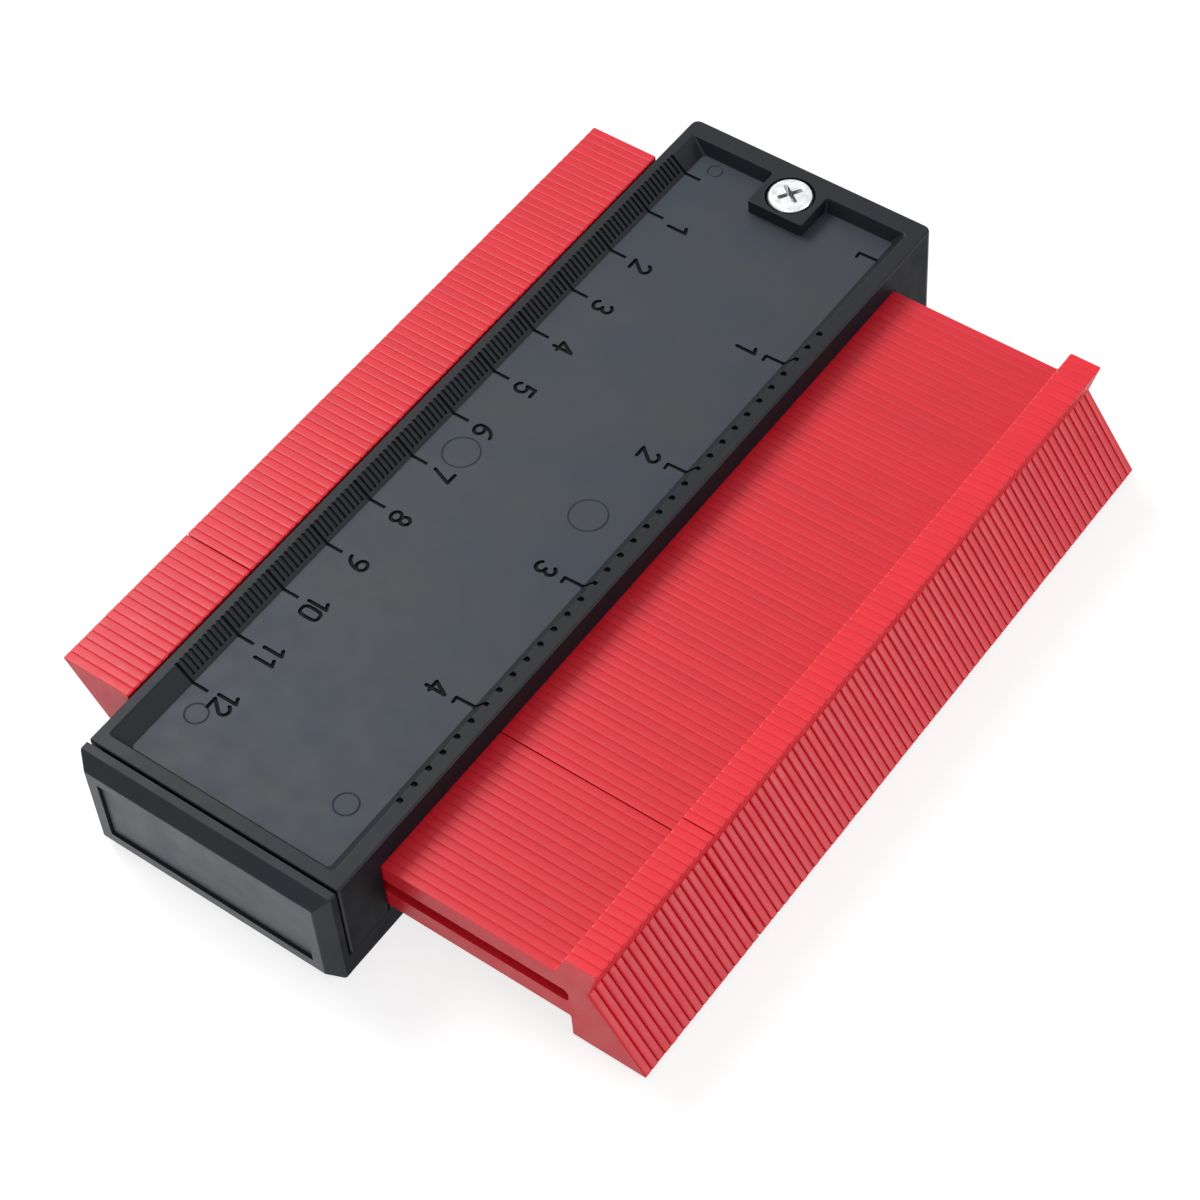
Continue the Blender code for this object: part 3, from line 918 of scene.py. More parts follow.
@dataclass
class Ruler:
    """The two scales in the cover's recess: centimetres at its left, inches at its right."""

    body: BodySizes
    left_edge: float = -33.35
    left_run: float = 2.5
    right_edge: float = 2.27
    right_run: float = 2.0
    depth: float = 0.30
    above: float = 0.8
    centimetre: int = 10
    centimetre_zero: float = 65.66
    centimetres: int = 12
    tick_end: float = -30.52
    tick_width: float = 0.54
    tick_bend: tuple[float, float] = (0.05, 0.6)
    rib_width: float = 0.52
    rib_depth: float = 0.36
    rib_lift: float = 0.7
    rib_foot: float = 0.20
    rib_top: float = -36.15
    digit_foot: float = -28.95
    digit_shift: float = 0.4
    pair_shifts: tuple[float, float] = (-0.9, 1.2)
    inch: float = 25.44
    inch_zero: float = 66.29
    inches: int = 4
    inch_foot: float = -5.72
    inch_shift: float = 0.36
    hook_end: float = -0.87
    hook_leg: float = 0.90
    hook_back: float = 0.1
    hook_shift: float = 0.12
    leg_shift: float = 0.15
    leg_lean: float = 0.06
    eighths: range = range(6, 39)
    pit: tuple[float, float] = (0.58, 0.46)
    pit_depth: float = 0.62
    pit_x: float = 4.52
    pit_shift: float = -0.25
    pit_points: int = 20
    inch_reach: float = 0.2
    inch_end: float = 4.90
    inch_width: float = 0.70
    inch_depth: float = 0.90
    ejectors: tuple[Corner, ...] = (
        (-27.67, 0.26, 2.9),
        (-4.84, 0.96, 2.95),
        (-29.44, -58.14, 1.75),
        (-2.34, -58.24, 1.85),
        (-29.64, 68.66, 1.2),
    )
    ring_width: float = 0.34
    ring_depth: float = 0.15
    ring_points: int = 64
    numerals: Numerals = field(default_factory=Numerals)

    def engrave(self) -> Engraving:
        """Lay out every mark.

        Returns:
            The engraving, ready to be cut.
        """
        work = Engraving()
        self.add_ribs(work)
        self.add_dashes(work)
        self.add_hooks(work)
        self.add_numbers(work)
        self.add_ejector_marks(work)
        return work

    @property
    def floor_levels(self) -> tuple[float, float]:
        """Lowest and highest level of a tool that cuts the floor."""
        return (self.body.floor - self.depth, self.body.floor + JUST_PAST)

    @staticmethod
    def across(outline: np.ndarray, y: float, width: float) -> Surface:
        """A side view carried half its width to each side of a place on Y."""
        return prism(outline, y - width / 2, y + width / 2, Axis.ALONG_Y)

    def add_ribs(self, work: Engraving) -> None:
        """Millimetre grooves across the left slope, with a longer one at each centimetre.

        A groove's side view is the slope moved in by the groove's depth, from its foot to a wall
        just behind the rim's edge. At a centimetre the same line runs on down the slope and over
        the floor.

        Args:
            work: the engraving.
        """
        rise = self.body.rim - self.body.floor
        slope = math.hypot(self.left_run, rise)
        out = np.array((rise, self.left_run)) / slope
        start = np.array((self.left_edge, self.body.floor))
        along = np.array((-self.left_run, rise))
        foot = start + along * self.rib_foot
        high = self.body.rim + self.above
        share = (self.left_edge - out[0] * self.rib_depth - self.rib_top) / self.left_run
        top = start + along * share - out * self.rib_depth
        lifted = foot + out * self.rib_lift
        sunk = foot - out * self.rib_depth
        rib = np.array([lifted, sunk, top, (self.rib_top, high), (lifted[0], high)])
        low, clear = self.floor_levels
        behind, before = self.tick_bend
        tick = np.array(
            [
                (self.tick_end, clear),
                (self.tick_end, low),
                (self.left_edge - behind, low),
                top,
                (self.rib_top, high),
                (foot[0], high),
                (self.left_edge + before, clear),
            ]
        )
        for millimetre in range(self.centimetres * self.centimetre + 1):
            y = self.centimetre_zero - millimetre
            if millimetre % self.centimetre == 0:
                work.add(self.across(tick, y, self.tick_width))
            else:
                work.ribs.append(self.across(rib, y, self.rib_width))

    def add_dashes(self, work: Engraving) -> None:
        """Oval pits at the eighths of an inch, and a groove up the slope at each whole inch.

        Args:
            work: the engraving.
        """
        rim, floor = self.body.rim, self.body.floor
        high = rim + self.above
        top = self.right_edge + self.right_run
        groove = np.array(
            [
                (self.right_edge - self.inch_reach, floor - self.depth),
                (self.right_edge + self.inch_reach, floor - self.depth),
                (top, rim - self.inch_depth),
                (self.inch_end, rim - self.inch_depth),
                (self.inch_end, high),
                (self.right_edge - self.inch_reach, high),
            ]
        )
        pit = circle(1.0, self.pit_points) * np.array(self.pit)
        for eighth in self.eighths:
            y = self.inch_zero - eighth * self.inch / 8
            if eighth % 8 == 0:
                work.add(self.across(groove, y, self.inch_width))
            else:
                place = np.array((self.pit_x, y + self.pit_shift))
                work.add(prism(pit + place, rim - self.pit_depth, high))

    def add_hooks(self, work: Engraving) -> None:
        """A line with a bent end on the floor at each inch.

        Args:
            work: the engraving.
        """
        end, levels = self.hook_end, self.floor_levels
        for count in range(self.inches + 1):
            y = self.inch_zero - count * self.inch
            bar = line((end, y - self.hook_shift), (self.right_edge - self.hook_back, y))
            foot = (end + self.leg_lean, y - self.hook_shift - self.hook_leg)
            leg = line((end, y - self.leg_shift), foot)
            work.add(ribbon(bar, self.tick_width, levels), 1)
            work.add(ribbon(leg, self.tick_width, levels), 2)

    def add_numbers(self, work: Engraving) -> None:
        """Numbers beside the ticks and hooks, with their tops towards +X.

        Args:
            work: the engraving.
        """
        for count in range(1, self.centimetres + 1):
            y = self.centimetre_zero - count * self.centimetre
            shifts = (self.digit_shift,) if count < 10 else self.pair_shifts
            for numeral, shift in zip(str(count), shifts):
                self.add_numeral(work, numeral, self.digit_foot, y - shift)
        for count in range(1, self.inches + 1):
            y = self.inch_zero - count * self.inch
            self.add_numeral(work, str(count), self.inch_foot, y - self.inch_shift)

    def add_numeral(self, work: Engraving, numeral: str, foot: float, place: float) -> None:
        """Lay one numeral on the floor.

        Args:
            work: the engraving.
            numeral: the character.
            foot: x of its foot.
            place: y of its middle.
        """
        for item in self.numerals.strokes(numeral):
            up = foot + self.numerals.height / 2 + item.path[:, 1]
            turned = np.stack([up, place - item.path[:, 0]], axis=1)
            tool = ribbon(turned, self.numerals.stroke, self.floor_levels, item.closed)
            work.add(tool, item.turn)

    def add_ejector_marks(self, work: Engraving) -> None:
        """Faint V-shaped ring grooves where the mould's ejector pins pressed on the floor.

        Args:
            work: the engraving.
        """
        half = self.ring_width / 2
        high = ((half, JUST_PAST), (-half, JUST_PAST))
        profile = ((-half, 0.0), (0.0, -self.ring_depth), (half, 0.0), *high)
        for x, y, radius in self.ejectors:
            rings = []
            for out, up in profile:
                outline = circle(radius + out, self.ring_points) + np.array((x, y))
                rings.append(ring(outline, self.body.floor + up))
            work.rings.append(loft(rings, True))


# Body


@dataclass
class Cover:
    """The upper moulding with its ruled recess, boss, end blocks and tabs.

    The four values of rims and runs are for its left, right, near and far side.
    """

    body: BodySizes
    ruler: Ruler
    edge: float = 0.30
    mouth: float = 0.16
    cove: float = 0.08
    far_radius: float = 1.2
    near_radius: float = 0.36
    rims: tuple[float, float, float, float] = (1.75, 2.6, 2.2, 3.3)
    runs: tuple[float, float, float, float] = (2.5, 2.0, 1.1, 0.7)
    recess_radius: float = 0.6
    boss_radius: float = 0.4
    boss_half: float = 5.05
    boss_near: float = 64.075
    wall: float = 2.0
    rib: float = 1.6
    bore: float = 3.98
    bore_depth: float = 2.0
    hole: float = 1.8
    tab_hook: float = 1.3
    arc_steps: int = 4

    @property
    def quarter(self) -> np.ndarray:
        """The angles of the stations of a rounded edge."""
        return np.linspace(0.0, math.pi / 2, self.arc_steps)

    def recess(self, widen: float, out: float) -> np.ndarray:
        """The recess's outline round the boss.

        Args:
            widen: 0 at the floor to 1 at the rim, the share of each slope's run.
            out: how far every side moves out besides.

        Returns:
            The outline's points.
        """
        ruled, dotted, near_rim, far_rim = self.rims
        runs = [run * (1 - widen) for run in self.runs]
        left = self.body.left + ruled + runs[0] - out
        right = self.body.right - dotted - runs[1] + out
        near = self.body.cover_near + near_rim + runs[2] - out
        far = self.body.far - far_rim - runs[3] + out
        half = self.boss_half - out
        front = self.boss_near + out
        middle = self.body.middle
        large, small = self.recess_radius, self.boss_radius
        return rounded(
            [
                (right, near, large),
                (right, far, large),
                (middle + half, far, small),
                (middle + half, front, small),
                (middle - half, front, small),
                (middle - half, far, small),
                (left, far, large),
                (left, near, large),
            ]
        )

    def blank(self) -> Surface:
        """The outer form: its outline carried up and rounded over into the rim.

        Returns:
            The closed form.
        """
        body = self.body
        radii = (self.near_radius, self.far_radius, self.far_radius, self.near_radius)
        outline = rectangle(body.left, body.right, body.cover_near, body.far, radii)
        rings = [ring(outline, body.parting)]
        for angle in self.quarter:
            height = body.rim - self.edge * (1 - math.sin(angle))
            rings.append(ring(inset(outline, self.edge * (1 - math.cos(angle))), height))
        return loft(rings)

    def recess_tool(self) -> Surface:
        """The recess: a coved foot, four slopes and a rounded mouth, as one profile.

        Returns:
            The tool that cuts it.
        """
        floor, depth = self.body.floor, self.body.rim - self.body.floor
        rings = []
        for angle in self.quarter:
            height = self.cove * (1 - math.cos(angle))
            out = -self.cove * (1 - math.sin(angle))
            rings.append(ring(self.recess(height / depth, out), floor + height))
        for angle in self.quarter:
            height = depth - self.mouth * (1 - math.sin(angle))
            out = self.mouth * (1 - math.cos(angle))
            rings.append(ring(self.recess(height / depth, out), floor + height))
        rings.append(ring(self.recess(1.0, self.mouth), self.body.rim + PAST))
        return loft(rings)

    def inner_tools(self) -> list[Surface]:
        """The passage for the leaves, the guide seats, the cored blocks and the screw's hole.

        Returns:
            The tools that cut them, in order.
        """
        body, middle = self.body, self.body.middle
        half = body.guide_width / 2 + body.fit
        inner = half + self.rib
        outer = (body.right - body.left) / 2 - self.wall
        low = body.parting - JUST_PAST
        window = (low, body.window_top)
        seat = (low, body.guide[1] + body.fit)
        near_core = (body.cover_near + self.wall, body.near_block - self.wall)
        far_core = (body.far_block + self.wall, body.far - self.wall)
        near_seat = (near_core[0], body.near_block + PAST)
        far_seat = (body.far_block - PAST, far_core[1])
        passage = (body.near_block, body.far_block)
        tools = [block((body.left - PAST, body.right + PAST), passage, window)]
        for place in (near_seat, far_seat):
            tools.append(block((middle - half, middle + half), place, seat))
        for core in (near_core, far_core):
            tools.append(block((middle + inner, middle + outer), core, window))
            tools.append(block((middle - outer, middle - inner), core, window))
        bore = (body.rim - self.bore_depth, body.rim + PAST)
        tools.append(drum(body.screw_place, self.bore, bore))
        tools.append(drum(body.screw_place, self.hole, (body.guide[1], body.rim)))
        return tools

    def tabs(self) -> list[Surface]:
        """The two tabs that hook into the end wall.

        Returns:
            The solid of each tab.
        """
        body = self.body
        half = body.tab_width / 2
        y = (body.wall_back - self.tab_hook, body.cover_near + PAST)
        z = (body.tab_bottom, body.tab_bottom + body.tab_thickness)
        return [block((x - half, x + half), y, z) for x in body.tab_places]

    def build(self, palette: Palette) -> bpy.types.Object:
        """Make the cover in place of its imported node.

        Args:
            palette: the materials.

        Returns:
            The finished piece.
        """
        finishes = (palette.cover, palette.groove, palette.cover_field, palette.side)
        thing = make_object("ruled_cover", self.blank(), finishes)
        for tool in (self.recess_tool(), *self.inner_tools()):
            combine(thing, tool, Join.CUT)
        for tab in self.tabs():
            combine(thing, tab, Join.ADD)
        self.ruler.engrave().cut(thing)
        finish_faces(thing, (0.0, 0.0, 1.0), self.body.floor, Skin.FIELD)
        self.body.dress_sides(thing)
        shade(thing)
        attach(thing, "body")
        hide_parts("top_cover")
        return thing


@dataclass
class Base:
    """The lower moulding: tray, end wall with its sunk panel, deck, posts and peg."""

    body: BodySizes
    foot: float = 0.35
    foot_profile: tuple[tuple[float, float], ...] = ((0.9, 0.0), (0.25, 0.3), (0.0, 1.0))
    side: float = 1.1
    bevel: float = 1.9
    round: float = 0.16
    round_middle: float = 0.3
    frame_width: float = 1.9
    panel_depth: float = 0.5
    panel_draft: float = 0.2
    corner: float = 0.22
    far_radius: float = 1.2
    rim_width: float = 3.0
    slope_run: float = 1.6
    recess_radius: float = 0.6
    deck_margin: float = 0.3
    post_inset: float = 2.3
    peg: float = 1.2
    peg_y: float = -65.675
    pilot: float = 1.8
    pilot_floor: float = 1.2
    pocket_reach: float = 1.6
    wall_thicker: float = 0.22
    seam_rib: tuple[float, float] = (1.2, 2.2)
    seam_gap: float = 0.18
    seam_drop: float = 0.8

    def tray(self) -> Surface:
        """The plate with its outline carried up from a rounded foot.

        Returns:
            The closed form.
        """
        body = self.body
        near = body.wall_back - self.side / 2
        radii = (self.corner, self.far_radius, self.far_radius, self.corner)
        outline = rectangle(body.left, body.right, near, body.far, radii)
        rings = [
            ring(inset(outline, self.corner * share), self.foot * rise)
            for share, rise in self.foot_profile
        ]
        return loft([*rings, ring(outline, body.base_top)])

    def wall_outline(self, distance: float) -> np.ndarray:
        """The end wall's outline on X and Z with its sides moved in.

        Args:
            distance: how far they are moved.

        Returns:
            The outline's points.
        """
        body = self.body
        left, right, top = body.left + distance, body.right - distance, body.rim - distance
        return rectangle(left, right, distance, top, (self.corner,) * 4)

    def end_wall(self) -> Surface:
        """The end wall: one outline carried forward and in over its bevel to a flat front.

        Returns:
            The closed form.
        """
        near = self.body.near
        start = near + self.bevel
        turn, middle = self.round, self.round * self.round_middle
        profile = [
            (0.0, self.body.wall_back + self.wall_thicker),
            (0.0, start + turn),
            (middle, start + middle),
            (turn, start - turn),
            (self.bevel - turn, near + turn),
            (self.bevel - middle, near + middle),
            (self.bevel + turn, near),
        ]
        return loft([ring(self.wall_outline(inward), y, Axis.ALONG_Y) for inward, y in profile])

    def panel(self) -> Surface:
        """The tool that sinks the panel into the wall's front, with its sides drawn in.

        Returns:
            The tool.
        """
        mouth, near = self.bevel + self.frame_width, self.body.near
        rings = []
        for draft, depth in ((0.0, -PAST), (0.0, 0.0), (self.panel_draft, self.panel_depth)):
            rings.append(ring(self.wall_outline(mouth + draft), near + depth, Axis.ALONG_Y))
        return loft(rings)

    def seam_ribs(self) -> list[Surface]:
        """The upright ribs behind the end wall that keep light out of the seam at its two sides.

        Returns:
            The solid of each rib.
        """
        body = self.body
        y = (body.wall_back - JUST_PAST, body.cover_near - self.seam_gap)
        z = (body.underside + JUST_PAST, body.rim - self.seam_drop)
        near, far = self.seam_rib
        sides = ((body.left + near, body.left + far), (body.right - far, body.right - near))
        return [block(x, y, z) for x in sides]

    def underside(self, distance: float) -> np.ndarray:
        """The outline of the recess under the tray, moved in from the tray's edge.

        Args:
            distance: how far it is moved.

        Returns:
            The outline's points.
        """
        body = self.body
        left, right = body.left + distance, body.right - distance
        near, far = body.wall_back + distance, body.far - distance
        return rectangle(left, right, near, far, (self.recess_radius,) * 4)

    def recess(self) -> Surface:
        """The tool that cuts the recess under the tray, with its sloped sides.

        Returns:
            The tool.
        """
        mouth = self.underside(self.rim_width)
        floor = self.underside(self.rim_width + self.slope_run)
        return loft([ring(mouth, -PAST), ring(mouth, 0.0), ring(floor, self.body.underside)])

    def pockets(self) -> list[Surface]:
        """The two pockets in the end wall that take the cover's tabs.

        Returns:
            The tool for each pocket.
        """
        body = self.body
        half = body.tab_width / 2 + body.fit
        y = (body.wall_back - self.pocket_reach, body.wall_back + PAST)
        z = (body.tab_bottom - body.fit, body.tab_bottom + body.tab_thickness + body.fit)
        return [block((x - half, x + half), y, z) for x in body.tab_places]

    def inner_solids(self) -> list[Surface]:
        """The deck under the leaves, the posts under the guide bar and the locating peg.

        Returns:
            The solids, in order.
        """
        body = self.body
        middle = (body.base_top + body.underside) / 2
        half = body.guide_width / 2
        wide = (body.middle - half, body.middle + half)
        post = (middle, body.guide[0] - body.fit)
        deck = (body.near_block + self.deck_margin, body.far_block - self.deck_margin)
        return [
            block((body.left, body.right), deck, (middle, body.deck_top)),
            block(wide, (body.cover_near + self.post_inset, body.near_block), post),
            block(wide, (body.far_block, body.far - self.post_inset), post),
            drum((body.middle, self.peg_y), self.peg, (body.base_top, body.guide[1] - JUST_PAST)),
        ]

    def build(self, palette: Palette) -> bpy.types.Object:
        """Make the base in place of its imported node.

        Args:
            palette: the materials.

        Returns:
            The finished piece.
        """
        body = self.body
        finishes = (palette.base, palette.groove, palette.base_field, palette.side)
        thing = make_object("base_moulding", self.tray(), finishes)
        combine(thing, self.end_wall(), Join.ADD)
        # The sunk panel's inner walls get the painted shade.
        combine(thing, self.panel(), Join.CUT, Skin.ENGRAVED)
        for rib in self.seam_ribs():
            combine(thing, rib, Join.ADD)
        combine(thing, self.recess(), Join.CUT)
        for solid in self.inner_solids():
            combine(thing, solid, Join.ADD)
        pilot = (body.underside + self.pilot_floor, body.guide[0])
        combine(thing, drum(body.screw_place, self.pilot, pilot), Join.CUT)
        # The tab pockets get the painted shade inside them.
        for pocket in self.pockets():
            combine(thing, pocket, Join.CUT, Skin.ENGRAVED)
        for depth in (0.0, self.panel_depth):
            finish_faces(thing, (0.0, -1.0, 0.0), -body.near - depth, Skin.FIELD)
        body.dress_sides(thing)
        shade(thing)
        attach(thing, "body")
        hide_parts("base_tray")
        return thing


@dataclass
class Screw:
    """The pan-head screw with its cross recess."""

    body: BodySizes
    radius: float = 3.68
    top: float = 20.07
    height: float = 2.1
    edge: float = 1.0
    chamfer: float = 0.15
    crown: float = 0.20
    crown_stations: int = 9
    flat: float = 0.74
    shank: float = 1.5
    tip: float = 4.2
    tip_share: float = 0.6
    tip_height: float = 0.8
    points: int = 64
    cross_length: float = 4.2
    cross_width: float = 0.78
    cross_depth: float = 1.3
    cross_foot: float = 0.45
    cross_turn: float = 56.0
    cross_radii: Corner = (0.22, 0.22, 0.18)
    sharp_angle: float = 35.0

    def turned(self) -> Surface:
        """The head and shank: a profile of radius against height turned round the screw's axis.

        Over the crown the radius falls as the cosine of an angle by a share of itself, while the
        height grows as the sine.

        Returns:
            The closed form.
        """
        radius = self.radius
        seat = self.top - self.height
        rise = self.height - self.edge
        angles = np.linspace(0.0, math.pi / 2, self.crown_stations)[1:-1]
        head = [
            (
                radius * ((1 - self.crown) + self.crown * math.cos(angle)),
                seat + self.edge + rise * math.sin(angle),
            )
            for angle in angles
        ]
        profile = [
            (self.shank * self.tip_share, self.tip),
            (self.shank, self.tip + self.tip_height),
            (self.shank, seat),
            (radius - self.chamfer, seat),
            (radius, seat + self.chamfer),
            (radius, seat + self.edge),
            *head,
            (radius * self.flat, self.top),
        ]
        centre = np.array(self.body.screw_place)
        return loft([ring(circle(reach, self.points) + centre, z) for reach, z in profile])

    def cross(self, grow: float) -> np.ndarray:
        """The cross's outline, with its arms shortened and narrowed by a factor.

        Args:
            grow: factor on the arms.

        Returns:
            The outline's twelve corners with small radii.
        """
        long, wide = self.cross_length / 2 * grow, self.cross_width / 2 * grow
        arm = np.array([(long, -wide), (long, wide), (wide, wide)])
        corners = np.vstack([arm @ self.spin(turn) for turn in np.arange(4) * math.pi / 2])
        radii = np.tile(np.array(self.cross_radii) * grow, 4)
        outline = rounded([(x, y, radius) for (x, y), radius in zip(corners.tolist(), radii)], 2)
        return outline @ self.spin(math.radians(self.cross_turn)) + np.array(self.body.screw_place)

    @staticmethod
    def spin(turn: float) -> np.ndarray:
        """The matrix that turns rows of points by an angle in radians."""
        return np.array([(math.cos(turn), math.sin(turn)), (-math.sin(turn), math.cos(turn))])

    def build(self, palette: Palette) -> bpy.types.Object:
        """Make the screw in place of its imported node.

        Args:
            palette: the materials.

        Returns:
            The finished piece.
        """
        thing = make_object("zinc_screw", self.turned(), (palette.zinc, palette.recess))
        rings = [
            ring(self.cross(self.cross_foot), self.top - self.cross_depth),
            ring(self.cross(1.0), self.top),
            ring(self.cross(1.0), self.top + JUST_PAST),
        ]
        # The cross recess takes the darker zinc as painted shade.
        combine(thing, loft(rings), Join.CUT, Skin.ENGRAVED)
        shade(thing, self.sharp_angle)
        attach(thing, "body")
        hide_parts("cover_screw")
        return thing


# Leaves


@dataclass(frozen=True)
class LeafProfile:
    """The side view of a leaf about the middle of its bar: a head at each end, half a turn apart.

    An edge's two values are how far its rounding reaches across the thickness and into the
    outline. tips and notches are the places of those corners in the outline.
    """

    tip: float = 50.2
    height: float = 9.55
    step: float = 37.93
    bar: float = 4.8
    notch: float = 41.53
    notch_rise: float = 3.8
    ridge: float = 43.13
    foot: float = 36.13
    arc_steps: int = 3
    slot_half: float = 37.93
    slot_height: float = 1.32
    slot_radius: float = 0.9
    slot_edge: float = 0.05
    edge: tuple[float, float] = (0.42, 0.08)
    tip_edge: tuple[float, float] = (0.22, 0.09)
    notch_edge: tuple[float, float] = (0.27, 0.80)
    tips: tuple[int, int] = (2, 9)
    notches: tuple[int, int] = (3, 10)

    def corners(self) -> list[Corner]:
        """X, Z and radius of each corner of the outer outline, anticlockwise.

        Returns:
            The corners.
        """
        h, b, n = self.height, self.bar, self.notch_rise
        return [
            (self.step, -b, 0.30),
            (self.step, -h, 0.30),
            (self.tip, -h, 0.16),
            (self.notch, n, 0.35),
            (self.ridge, h, 0.18),
            (self.step, h, 0.35),
            (self.foot, b, 0.30),
            (-self.step, b, 0.30),
            (-self.step, h, 0.30),
            (-self.tip, h, 0.16),
            (-self.notch, -n, 0.35),
            (-self.ridge, -h, 0.35),
            (-self.step, -h, 0.30),
            (-self.step, -b, 0.30),
        ]

    def outline(self) -> np.ndarray:
        """The outer outline on X and Z."""
        return rounded(self.corners(), self.arc_steps)

    def edges(self) -> np.ndarray:
        """The rounding at each point of the outline: most where a slanted front meets its notch.

        Returns:
            How far it reaches across the thickness and into the outline, point by point.
        """
        table = np.tile(np.array(self.edge), (len(self.corners()), 1))
        table[list(self.tips)] = self.tip_edge
        table[list(self.notches)] = self.notch_edge
        return np.repeat(table, self.arc_steps + 1, axis=0)

    def slot(self) -> np.ndarray:
        """The slot for the guide bar, anticlockwise."""
        half, high = self.slot_half, self.slot_height
        return rectangle(-half, half, -high, high, (self.slot_radius,) * 4)


@dataclass
class LeafStack:
    """The 85 leaves, two to a blade, each with its own small differences."""

    profile: LeafProfile = field(default_factory=LeafProfile)
    count: int = 85
    to_a_blade: int = 2
    pitch: float = 1.49
    start: float = -62.475
    gap: float = 0.02
    middle: float = 10.2
    slack: float = 0.012
    wide_gap: float = 0.09
    wide_gap_after: int = 17
    uneven: float = 0.04
    tones: tuple[float, float] = (0.05, 0.22)
    # Painted highlight: the top of the right-hand ridge is painted lighter through the tone
    # attribute, by this much, over a band this deep.
    ridge_tone: float = 0.40
    ridge_band: float = 0.5

    def caps(self) -> list[Face]:
        """Triangles over the flat face between a leaf's outline and its slot.

        Returns:
            The triangles, worked out once for all leaves.
        """
        outer = inset(self.profile.outline(), self.profile.edges()[:, 1])
        inner = inset(self.profile.slot(), -self.profile.slot_edge)
        loops = [[Vector((x, z, 0.0)) for x, z in outline.tolist()] for outline in (outer, inner)]
        return [tuple(face) for face in tessellate_polygon(loops)]

    def leaf(self, caps: list[Face], near: float, far: float, ends: Sequence[float]) -> Surface:
        """One leaf: its outline carried across its thickness with rounded edges, and its slot.

        Args:
            caps: the triangles of its flat faces.
            near: y of its near face.
            far: y of its far face.
            ends: how far its two tips stand back.

        Returns:
            The leaf's closed surface.
        """
        outline, slot = self.profile.outline(), self.profile.slot()
        across, into = self.profile.edges().T
        hole = self.profile.slot_edge
        stations = [(near, reach, depth) for reach, depth in EDGE_ARC]
        stations += [(far, -reach, depth) for reach, depth in reversed(EDGE_ARC)]
        rows = []
        for y, reach, depth in stations:
            outer = ring(inset(outline, into * depth), y + across * reach, Axis.ALONG_Y)
            inner = ring(inset(slot, -hole * depth), y + hole * reach, Axis.ALONG_Y)
            rows.append(np.concatenate([outer, inner]))
        grid = np.stack(rows)
        index = np.arange(grid.shape[0] * grid.shape[1]).reshape(grid.shape[:2])
        faces = band(index[:, : len(outline)]) + band(index[:, len(outline) :])
        last = int(index[-1, 0])
        faces += caps + [tuple(i + last for i in face) for face in caps]
        points = grid.reshape(-1, 3) + np.array((0.0, 0.0, self.middle))
        points[:, 0] -= np.where(points[:, 0] > self.profile.foot, ends[0], 0.0)
        points[:, 0] += np.where(points[:, 0] < -self.profile.foot, ends[1], 0.0)
        return Surface(points, faces)

    def blade(
        self, number: int, caps: list[Face], draw: np.random.Generator, palette: Palette
    ) -> bpy.types.Object:
        """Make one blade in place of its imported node.

        Args:
            number: the blade's number, from 1 at the near end.
            caps: the triangles of a leaf's flat faces.
            draw: the source of the leaves' small differences.
            palette: the materials.

        Returns:
            The finished blade.
        """
        first = (number - 1) * self.to_a_blade
        leaves, tones = [], []
        for place in range(first, min(first + self.to_a_blade, self.count)):
            near = self.start + place * self.pitch + self.gap / 2
            far = near + self.pitch - self.gap
            slack = draw.uniform(0.0, self.slack, 2)
            beside = (place == self.wide_gap_after + 1, place == self.wide_gap_after)
            slack += np.array(beside) * self.wide_gap
            ends = draw.uniform(0.0, self.uneven, 2)
            surface = self.leaf(caps, near + slack[0], far - slack[1], ends)
            leaves.append(surface)
            # Painted highlight: points on the top of the right-hand ridge get a lighter tone.
            x, z = surface.points[:, 0], surface.points[:, 2] - self.middle
            on_lit_ridge = (x > self.profile.foot) & (z > self.profile.height - self.ridge_band)
            tones.append(draw.uniform(*self.tones) + on_lit_ridge * self.ridge_tone)
        thing = make_object(f"red_leaves_{number:02d}", merged(leaves), (palette.leaf,))
        tone = thing.data.attributes.new(RedPlastic.tone, "FLOAT", "POINT")
        tone.data.foreach_set("value", np.concatenate(tones).astype(np.float32))
        shade(thing)
        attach(thing, f"blade_{number:02d}")
        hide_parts(f"leaf_blade_{number:02d}")
        return thing

    def build(self, palette: Palette) -> list[bpy.types.Object]:
        """Make every blade.

        Args:
            palette: the materials.

        Returns:
            The blades, from the near end.
        """
        draw = np.random.default_rng(SEED)
        caps = self.caps()
        blades = math.ceil(self.count / self.to_a_blade)
        return [self.blade(number, caps, draw, palette) for number in range(1, blades + 1)]


# Studio


@dataclass(frozen=True)
class Lamp:
    """A square soft box that points at the gauge, with its place and size in metres."""

    name: str
    place: Corner
    size: float
    watts: float

    def build(self) -> None:
        """Hang the lamp."""
        data = bpy.data.lights.new(self.name, "AREA")
        data.size = self.size
        data.energy = self.watts
        thing = bpy.data.objects.new(self.name, data)
        bpy.context.collection.objects.link(thing)
        thing.location = self.place
        thing.rotation_euler = Vector(self.place).to_track_quat("Z", "Y").to_euler()


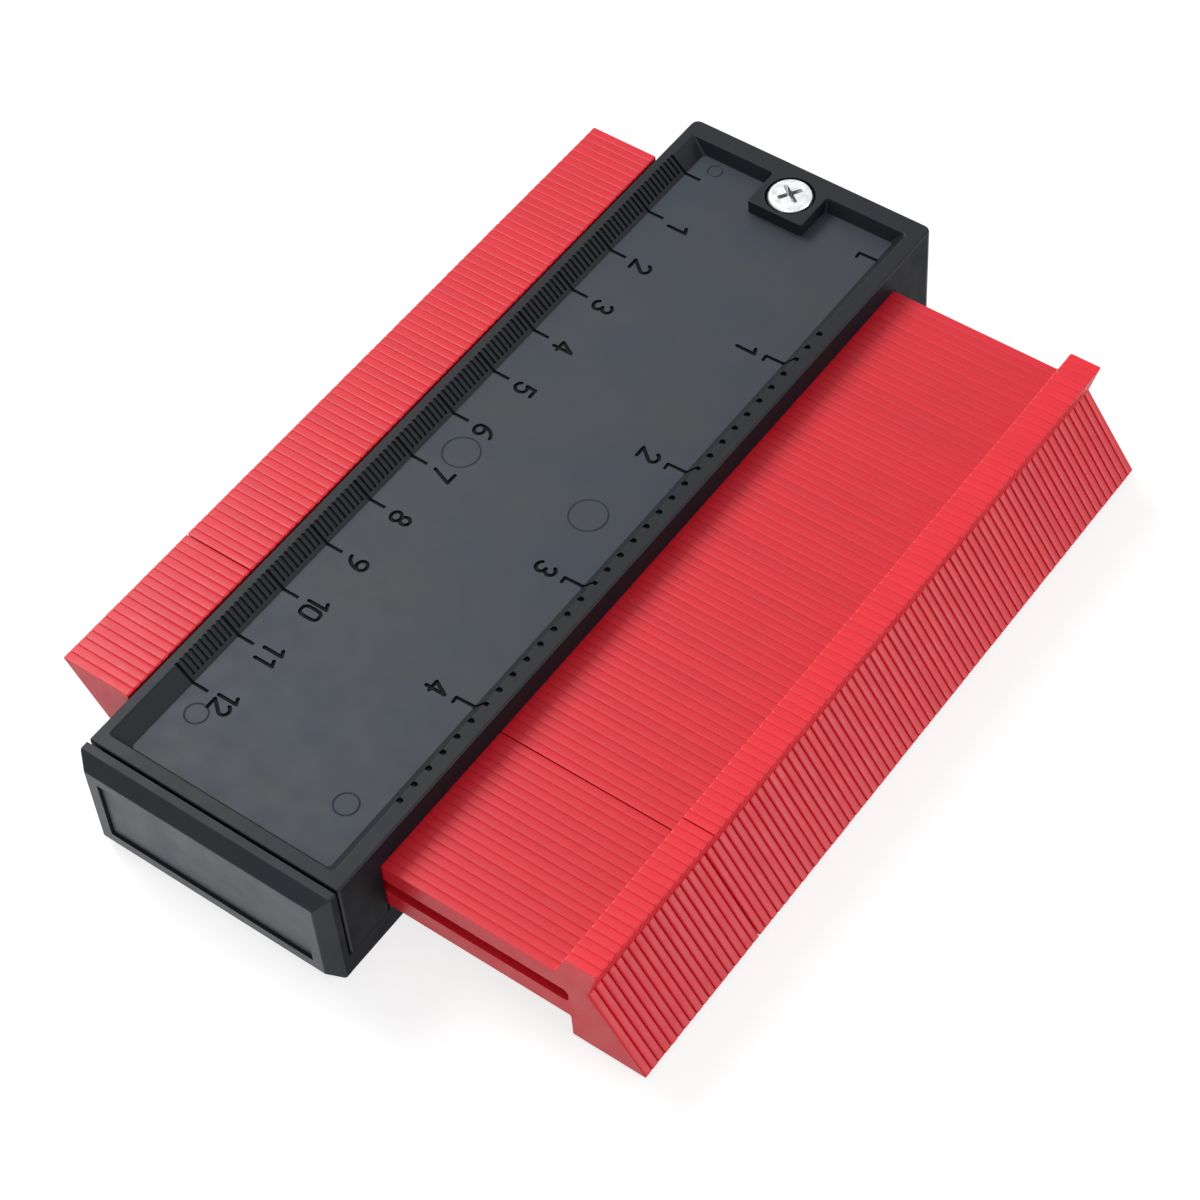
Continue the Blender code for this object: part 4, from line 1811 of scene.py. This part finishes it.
@dataclass(frozen=True)
class Studio:
    """Camera, lamps, white paper and world, in metres but for the paper's level."""

    place: Corner = (0.1873, -0.2247, 0.3787)
    azimuth: float = 40.31
    elevation: float = 52.17
    roll: float = -5.21
    lens: float = 96.6
    sensor: float = 36.0
    floor_size: float = 3.0
    floor_level: float = -0.05
    world_light: float = 0.52
    lamps: tuple[Lamp, ...] = (
        Lamp("soft box left", (-0.86, 0.14, 0.94), 0.5, 10.5),
        Lamp("soft box front", (0.45, -1.05, 0.55), 0.7, 2.6),
        Lamp("soft box right", (0.95, 0.36, 0.17), 0.3, 3.0),
    )

    def camera(self) -> None:
        """Set up the camera from its azimuth, elevation and roll."""
        data = bpy.data.cameras.new("camera")
        data.lens = self.lens
        data.sensor_width = self.sensor
        angles = (self.azimuth, self.elevation, self.roll)
        azimuth, elevation, roll = (math.radians(angle) for angle in angles)
        flat = math.cos(elevation)
        back = Vector((math.sin(azimuth) * flat, -math.cos(azimuth) * flat, math.sin(elevation)))
        level = (-back).cross(Vector((0.0, 0.0, 1.0))).normalized()
        right = level * math.cos(roll) + level.cross(-back) * math.sin(roll)
        up = back.cross(right)
        thing = bpy.data.objects.new("camera", data)
        bpy.context.collection.objects.link(thing)
        turn = Matrix((right, up, back)).transposed().to_4x4()
        thing.matrix_world = Matrix.Translation(self.place) @ turn
        bpy.context.scene.camera = thing

    def paper(self, palette: Palette) -> None:
        """Lay the white paper that the gauge stands on.

        Args:
            palette: the materials.
        """
        half = self.floor_size / 2 / METRE
        corners = np.array([(-half, -half), (half, -half), (half, half), (-half, half)])
        mesh = bpy.data.meshes.new("paper")
        mesh.from_pydata((ring(corners, self.floor_level) * METRE).tolist(), [], [(0, 1, 2, 3)])
        mesh.materials.append(palette.floor)
        thing = bpy.data.objects.new("paper", mesh)
        bpy.context.collection.objects.link(thing)

    def world(self) -> None:
        """Soft light from all round, which the camera and mirrors see as white."""
        world = bpy.data.worlds.new("studio")
        bpy.context.scene.world = world
        world.use_nodes = True
        tree = world.node_tree
        ground = tree.nodes["Background"]
        ground.inputs["Color"].default_value = (1.0, 1.0, 1.0, 1.0)
        strength = tree.nodes.new("ShaderNodeMapRange")
        strength.inputs["To Min"].default_value = self.world_light
        strength.inputs["To Max"].default_value = 1.0
        tree.links.new(seen_rays(tree), strength.inputs["Value"])
        tree.links.new(strength.outputs["Result"], ground.inputs["Strength"])

    def build(self, palette: Palette) -> None:
        """Set up the whole studio.

        Args:
            palette: the materials.
        """
        bpy.context.scene.view_settings.view_transform = "Standard"
        self.camera()
        self.world()
        self.paper(palette)
        for lamp in self.lamps:
            lamp.build()


def dress_guide(palette: Palette) -> bpy.types.Object:
    """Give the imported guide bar, whose shape is right, its material.

    Args:
        palette: the materials.

    Returns:
        The guide bar.
    """
    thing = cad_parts["guide_bar"]
    thing.data.materials.clear()
    thing.data.materials.append(palette.guide)
    return thing


def report(things: Iterable[bpy.types.Object]) -> None:
    """Log each piece with its faces."""
    for thing in things:
        LOG.info("%s: %d faces", thing.name, len(thing.data.polygons))


def main() -> None:
    """Build the gauge's pieces and its studio in order."""
    logging.basicConfig(level=logging.INFO, format="%(name)s %(message)s")
    palette = Palette.build()
    body = BodySizes()
    Studio().build(palette)
    report(LeafStack().build(palette))
    report([Cover(body, Ruler(body)).build(palette)])
    report([Base(body).build(palette)])
    report([Screw(body).build(palette)])
    report([dress_guide(palette)])


if __name__ == "__main__":
    main()
